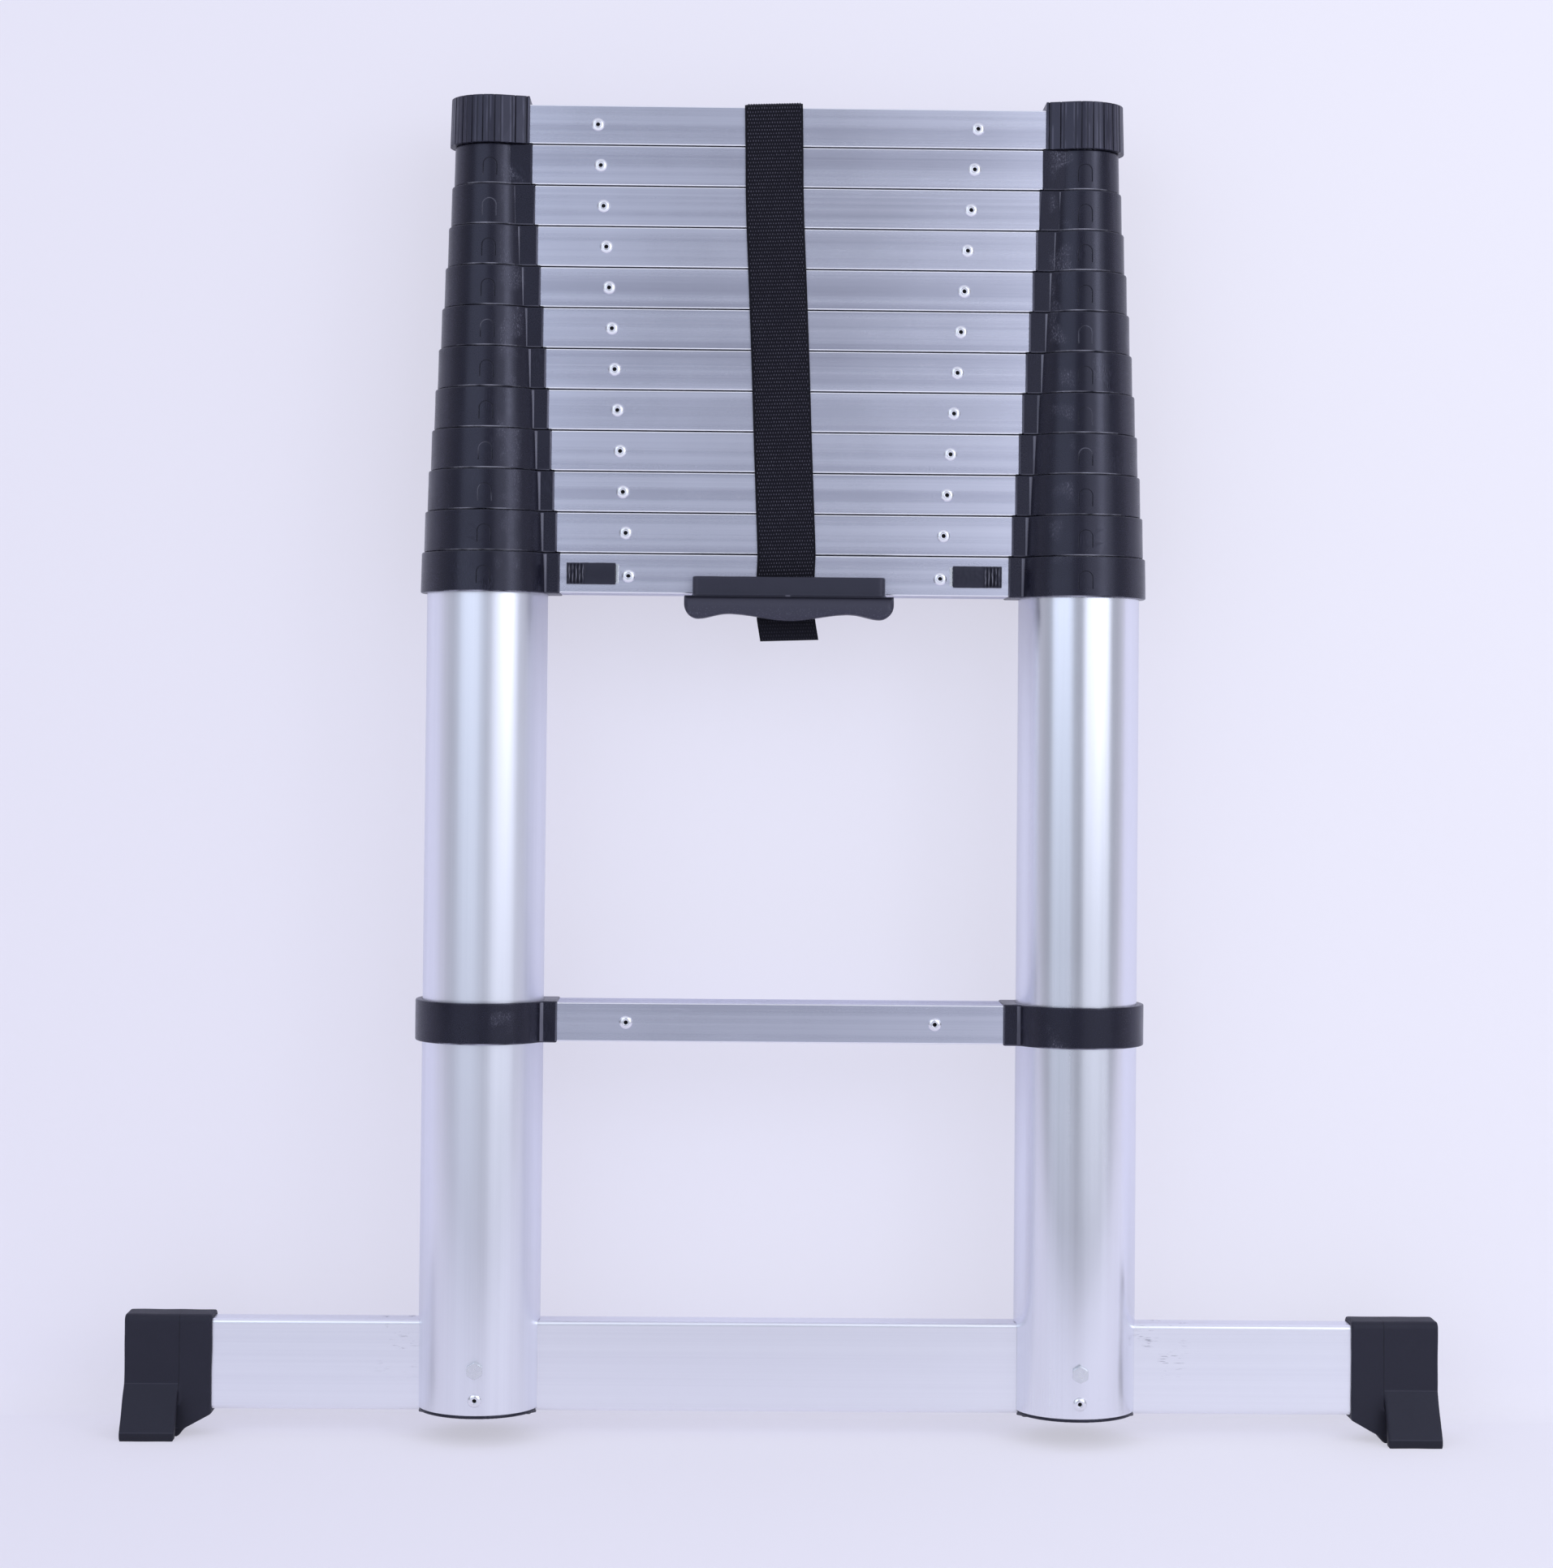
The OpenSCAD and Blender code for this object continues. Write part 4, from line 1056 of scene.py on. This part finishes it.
def rivetMaterial(values):
    made, place, join = newMaterial("rivetAluminium", {})
    hollow = place.marked("hollow")
    spots = place.noise(900, 3.0, 0.6)
    # the floor of the hollow painted dark and not metallic, as painted shade
    join("Base Color", hollow.above(0.2, 0.9).mixed(values["colour"], values["dark"]))
    join("Metallic", 1.0 - hollow.above(0.2, 0.9))
    join("Roughness", spots * 0.16 + hollow * 0.5 + values["rough"])
    join("Normal", spots.bumped(0.2, 0.00003))
    return made


rivetShade = rivetMaterial(rivet)


def rivetPattern():
    p = Pattern("rivets", {"Places": "Object", "Head": "Object"})
    places, head = p.model("Places"), p.model("Head")
    p.finish(p.add("GeometryNodeInstanceOnPoints", None, {"Points": places, "Instance": head}), rivetShade)
    return p


rivetTree = rivetPattern()
rivetModel = rivetHead(rivet)
rungLevel = sum(point.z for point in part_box("base_rung")) / 2


def addFasteners(source, body):  # each short round solid is a rivet, and what is left are pins and bolts
    mesh = merged(source)
    seats = bmesh.new()
    for shell in shells(mesh):
        low, high = reach(shell)
        extent = high - low
        if abs(extent.x - extent.z) < 0.0003 and extent.y < 0.012:
            seat = (low + high) / 2
            seat.y = low.y + rivet["head"]
            if source == "base_fasteners" and abs(seat.z - rungLevel) < 0.003:
                seat.z -= rivet["baseDrop"]
            seats.verts.new(seat)
            bmesh.ops.delete(mesh, geom=shell, context="VERTS")
    places = plainObject("rivetPlaces", seats)
    name = body.replace("_", "")
    heads = rivetTree.made(name + "Rivets", {"Places": places, "Head": rivetModel})
    bpy.data.objects.remove(places)
    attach(heads, body)
    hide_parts(source)
    if mesh.verts:
        pins = plainObject(name + "Pins", mesh)
        sharpen(pins, 35)
        clad(pins, steelShade, source, body)
    else:
        mesh.free()


addFasteners("base_fasteners", "base")
for name in sections:
    addFasteners(name + "_pins_rivets", name)
bpy.data.objects.remove(rivetModel)
print("rivets and pins set")


# White paper hangs behind the ladder and runs out under it
stage = {
    "wallY": 0.078, "bend": 0.03, "front": -4.0, "side": 6.0, "top": 5.0,
    "near": -0.65,  # floor nearer to the camera than this doesn't light the ladder
    "colour": tone(237, 236, 250),
    "seen": [tone(236, 234, 248), tone(245, 244, 255)],  # at the left and at the right: a painted gradient of light, brighter to the right
    "plain": 0.62,  # how much of the paper the camera sees evenly lit, so that shadows on it stay light
    "floorPlain": 0.57,
    "shown": 0.28,  # and how much of it metal shows
    "floorShown": 0.50,
}


def paperMaterial(values):
    made, place, join = newMaterial("backdropPaper", {"Roughness": 0.9, "Specular IOR Level": 0.1})
    darker = tuple(c * 0.97 for c in values["colour"][:3]) + (1,)
    join("Base Color", (place.noise(900, 2.0) * 0.3).mixed(values["colour"], darker))
    x, y, z = split(place)
    tree = made.node_tree
    end = next(n for n in tree.nodes if n.type == "OUTPUT_MATERIAL")
    lit = Wire(tree, next(n for n in tree.nodes if n.type == "BSDF_PRINCIPLED").outputs[0])
    # Its back is clear to all, and the near floor to all but the camera
    back = place.node("ShaderNodeNewGeometry", out=6)
    direct = place.node("ShaderNodeLightPath", out="Is Camera Ray")
    near = y.above(values["near"] - 0.01, values["near"] + 0.01)
    through = back.maths("MAXIMUM", (1.0 - direct) * (1.0 - near))
    clear = place.node("ShaderNodeBsdfTransparent")
    cover = place.node("ShaderNodeMixShader", None, {0: through, 1: lit, 2: clear})
    # Camera and metal see part of it evenly lit, a little more or less on the wall than on the floor, with
    # painted light a little brighter towards the right
    even = place.node("ShaderNodeEmission", None, {"Color": x.above(-0.7, 0.8).mixed(*values["seen"])})
    glossy = place.node("ShaderNodeLightPath", out="Is Glossy Ray")
    wall = z.above(0.0, 0.12)
    share = direct * (wall * (values["plain"] - values["floorPlain"]) + values["floorPlain"])
    share = share + glossy * (wall * (values["shown"] - values["floorShown"]) + values["floorShown"])
    seen = place.node("ShaderNodeMixShader", None, {0: share * (1.0 - through), 1: cover, 2: even})
    tree.links.new(seen.socket, end.inputs[0])
    return made


def addStage(values):
    mesh = bmesh.new()
    bend, wall = values["bend"], values["wallY"]
    profile = [(values["front"], 0.0)]
    profile += [(wall - bend + bend * math.sin(a), bend - bend * math.cos(a))
                for a in (math.radians(7.5 * i) for i in range(13))]
    profile += [(wall, values["top"])]
    left, right = ([mesh.verts.new((x, y, z)) for y, z in profile] for x in (-values["side"], values["side"]))
    for i in range(len(profile) - 1):
        mesh.faces.new((left[i], right[i], right[i + 1], left[i + 1])).smooth = True
    made = plainObject("backdrop", mesh)
    made.data.materials.append(paperMaterial(values))


addStage(stage)


# Soft boxes at both sides of the camera, each dimmer towards the floor
lamps = [
    {"name": "rightBox", "turn": 35, "across": 2.0, "from": 0.42, "to": 2.3, "glow": 1.05},
    {"name": "rightStrip", "turn": 35, "across": 2.0, "from": -0.10, "to": 0.42, "glow": 0.42},
    {"name": "rightCore", "turn": 41, "across": 0.45, "from": 0.72, "to": 1.6, "glow": 3.4},
    {"name": "leftBox", "turn": -32, "across": 1.65, "from": 0.62, "to": 2.3, "glow": 1.02},
    {"name": "leftMiddle", "turn": -32, "across": 1.65, "from": 0.32, "to": 0.62, "glow": 0.50},
    {"name": "leftStrip", "turn": -32, "across": 1.65, "from": -0.10, "to": 0.32, "glow": 0.27},
]
boxes = {"away": 2.2, "right": (0.84, 0.88, 1.0), "left": (0.74, 0.83, 1.0)}


def addLamp(values):
    turn, high = math.radians(values["turn"]), (values["from"] + values["to"]) / 2
    place = Vector((boxes["away"] * math.sin(turn), -boxes["away"] * math.cos(turn), high))
    light = bpy.data.lights.new(values["name"], "AREA")
    light.shape = "RECTANGLE"
    light.size, light.size_y = values["across"], values["to"] - values["from"]
    light.energy = values["glow"] * math.pi * light.size * light.size_y  # so that its face has this radiance
    light.color = boxes["right" if turn > 0 else "left"]
    made = added(values["name"], light)
    toward = Vector((0, 0, high)) - place
    made.matrix_world = Matrix.Translation(place) @ toward.to_track_quat("-Z", "Y").to_matrix().to_4x4()
    made.visible_camera = False


for lamp in lamps:
    addLamp(lamp)
print("stage and lamps set")

sky = {
    "seen": tone(233, 232, 247),
    "behind": (0.62, 0.62, 0.72, 1),  # what metal reflects from behind the ladder
    "before": [  # and from the room, by height: a bright floor, a dark middle
        (0.0, 1.0), (0.38, 0.95), (0.425, 0.29), (0.45, 0.30), (0.485, 0.38),
        (0.545, 0.46), (0.585, 0.26), (0.66, 0.30), (0.8, 0.85)],
    "tint": (0.86, 0.90, 1.05),
    "ambient": (0.58, 0.58, 0.64, 1),
}


def addSky(values):
    world = bpy.data.worlds.new("studio")
    world.use_nodes = True
    world.cycles.sampling_method = "NONE"
    scene.world = world
    tree = world.node_tree
    ground = next(n for n in tree.nodes if n.type == "BACKGROUND")
    direct = newNode(tree, "ShaderNodeLightPath", out="Is Camera Ray")
    glossy = direct.beside("Is Glossy Ray")
    across, depth, rise = split(newNode(tree, "ShaderNodeTexCoord", out="Generated"))
    stops = [(at, tuple(level * t for t in values["tint"]) + (1,)) for at, level in values["before"]]
    height = rise * 0.5 + 0.5
    room = height.node("ShaderNodeValToRGB", {"stops": stops}, {0: height})
    around = depth.above(-0.62, 0.25).mixed(room, values["behind"])
    colour = direct.mixed(glossy.mixed(values["ambient"], around), values["seen"])
    tree.links.new(colour.socket, ground.inputs["Color"])
    ground.inputs["Strength"].default_value = 1.0


addSky(sky)
print("sky set")
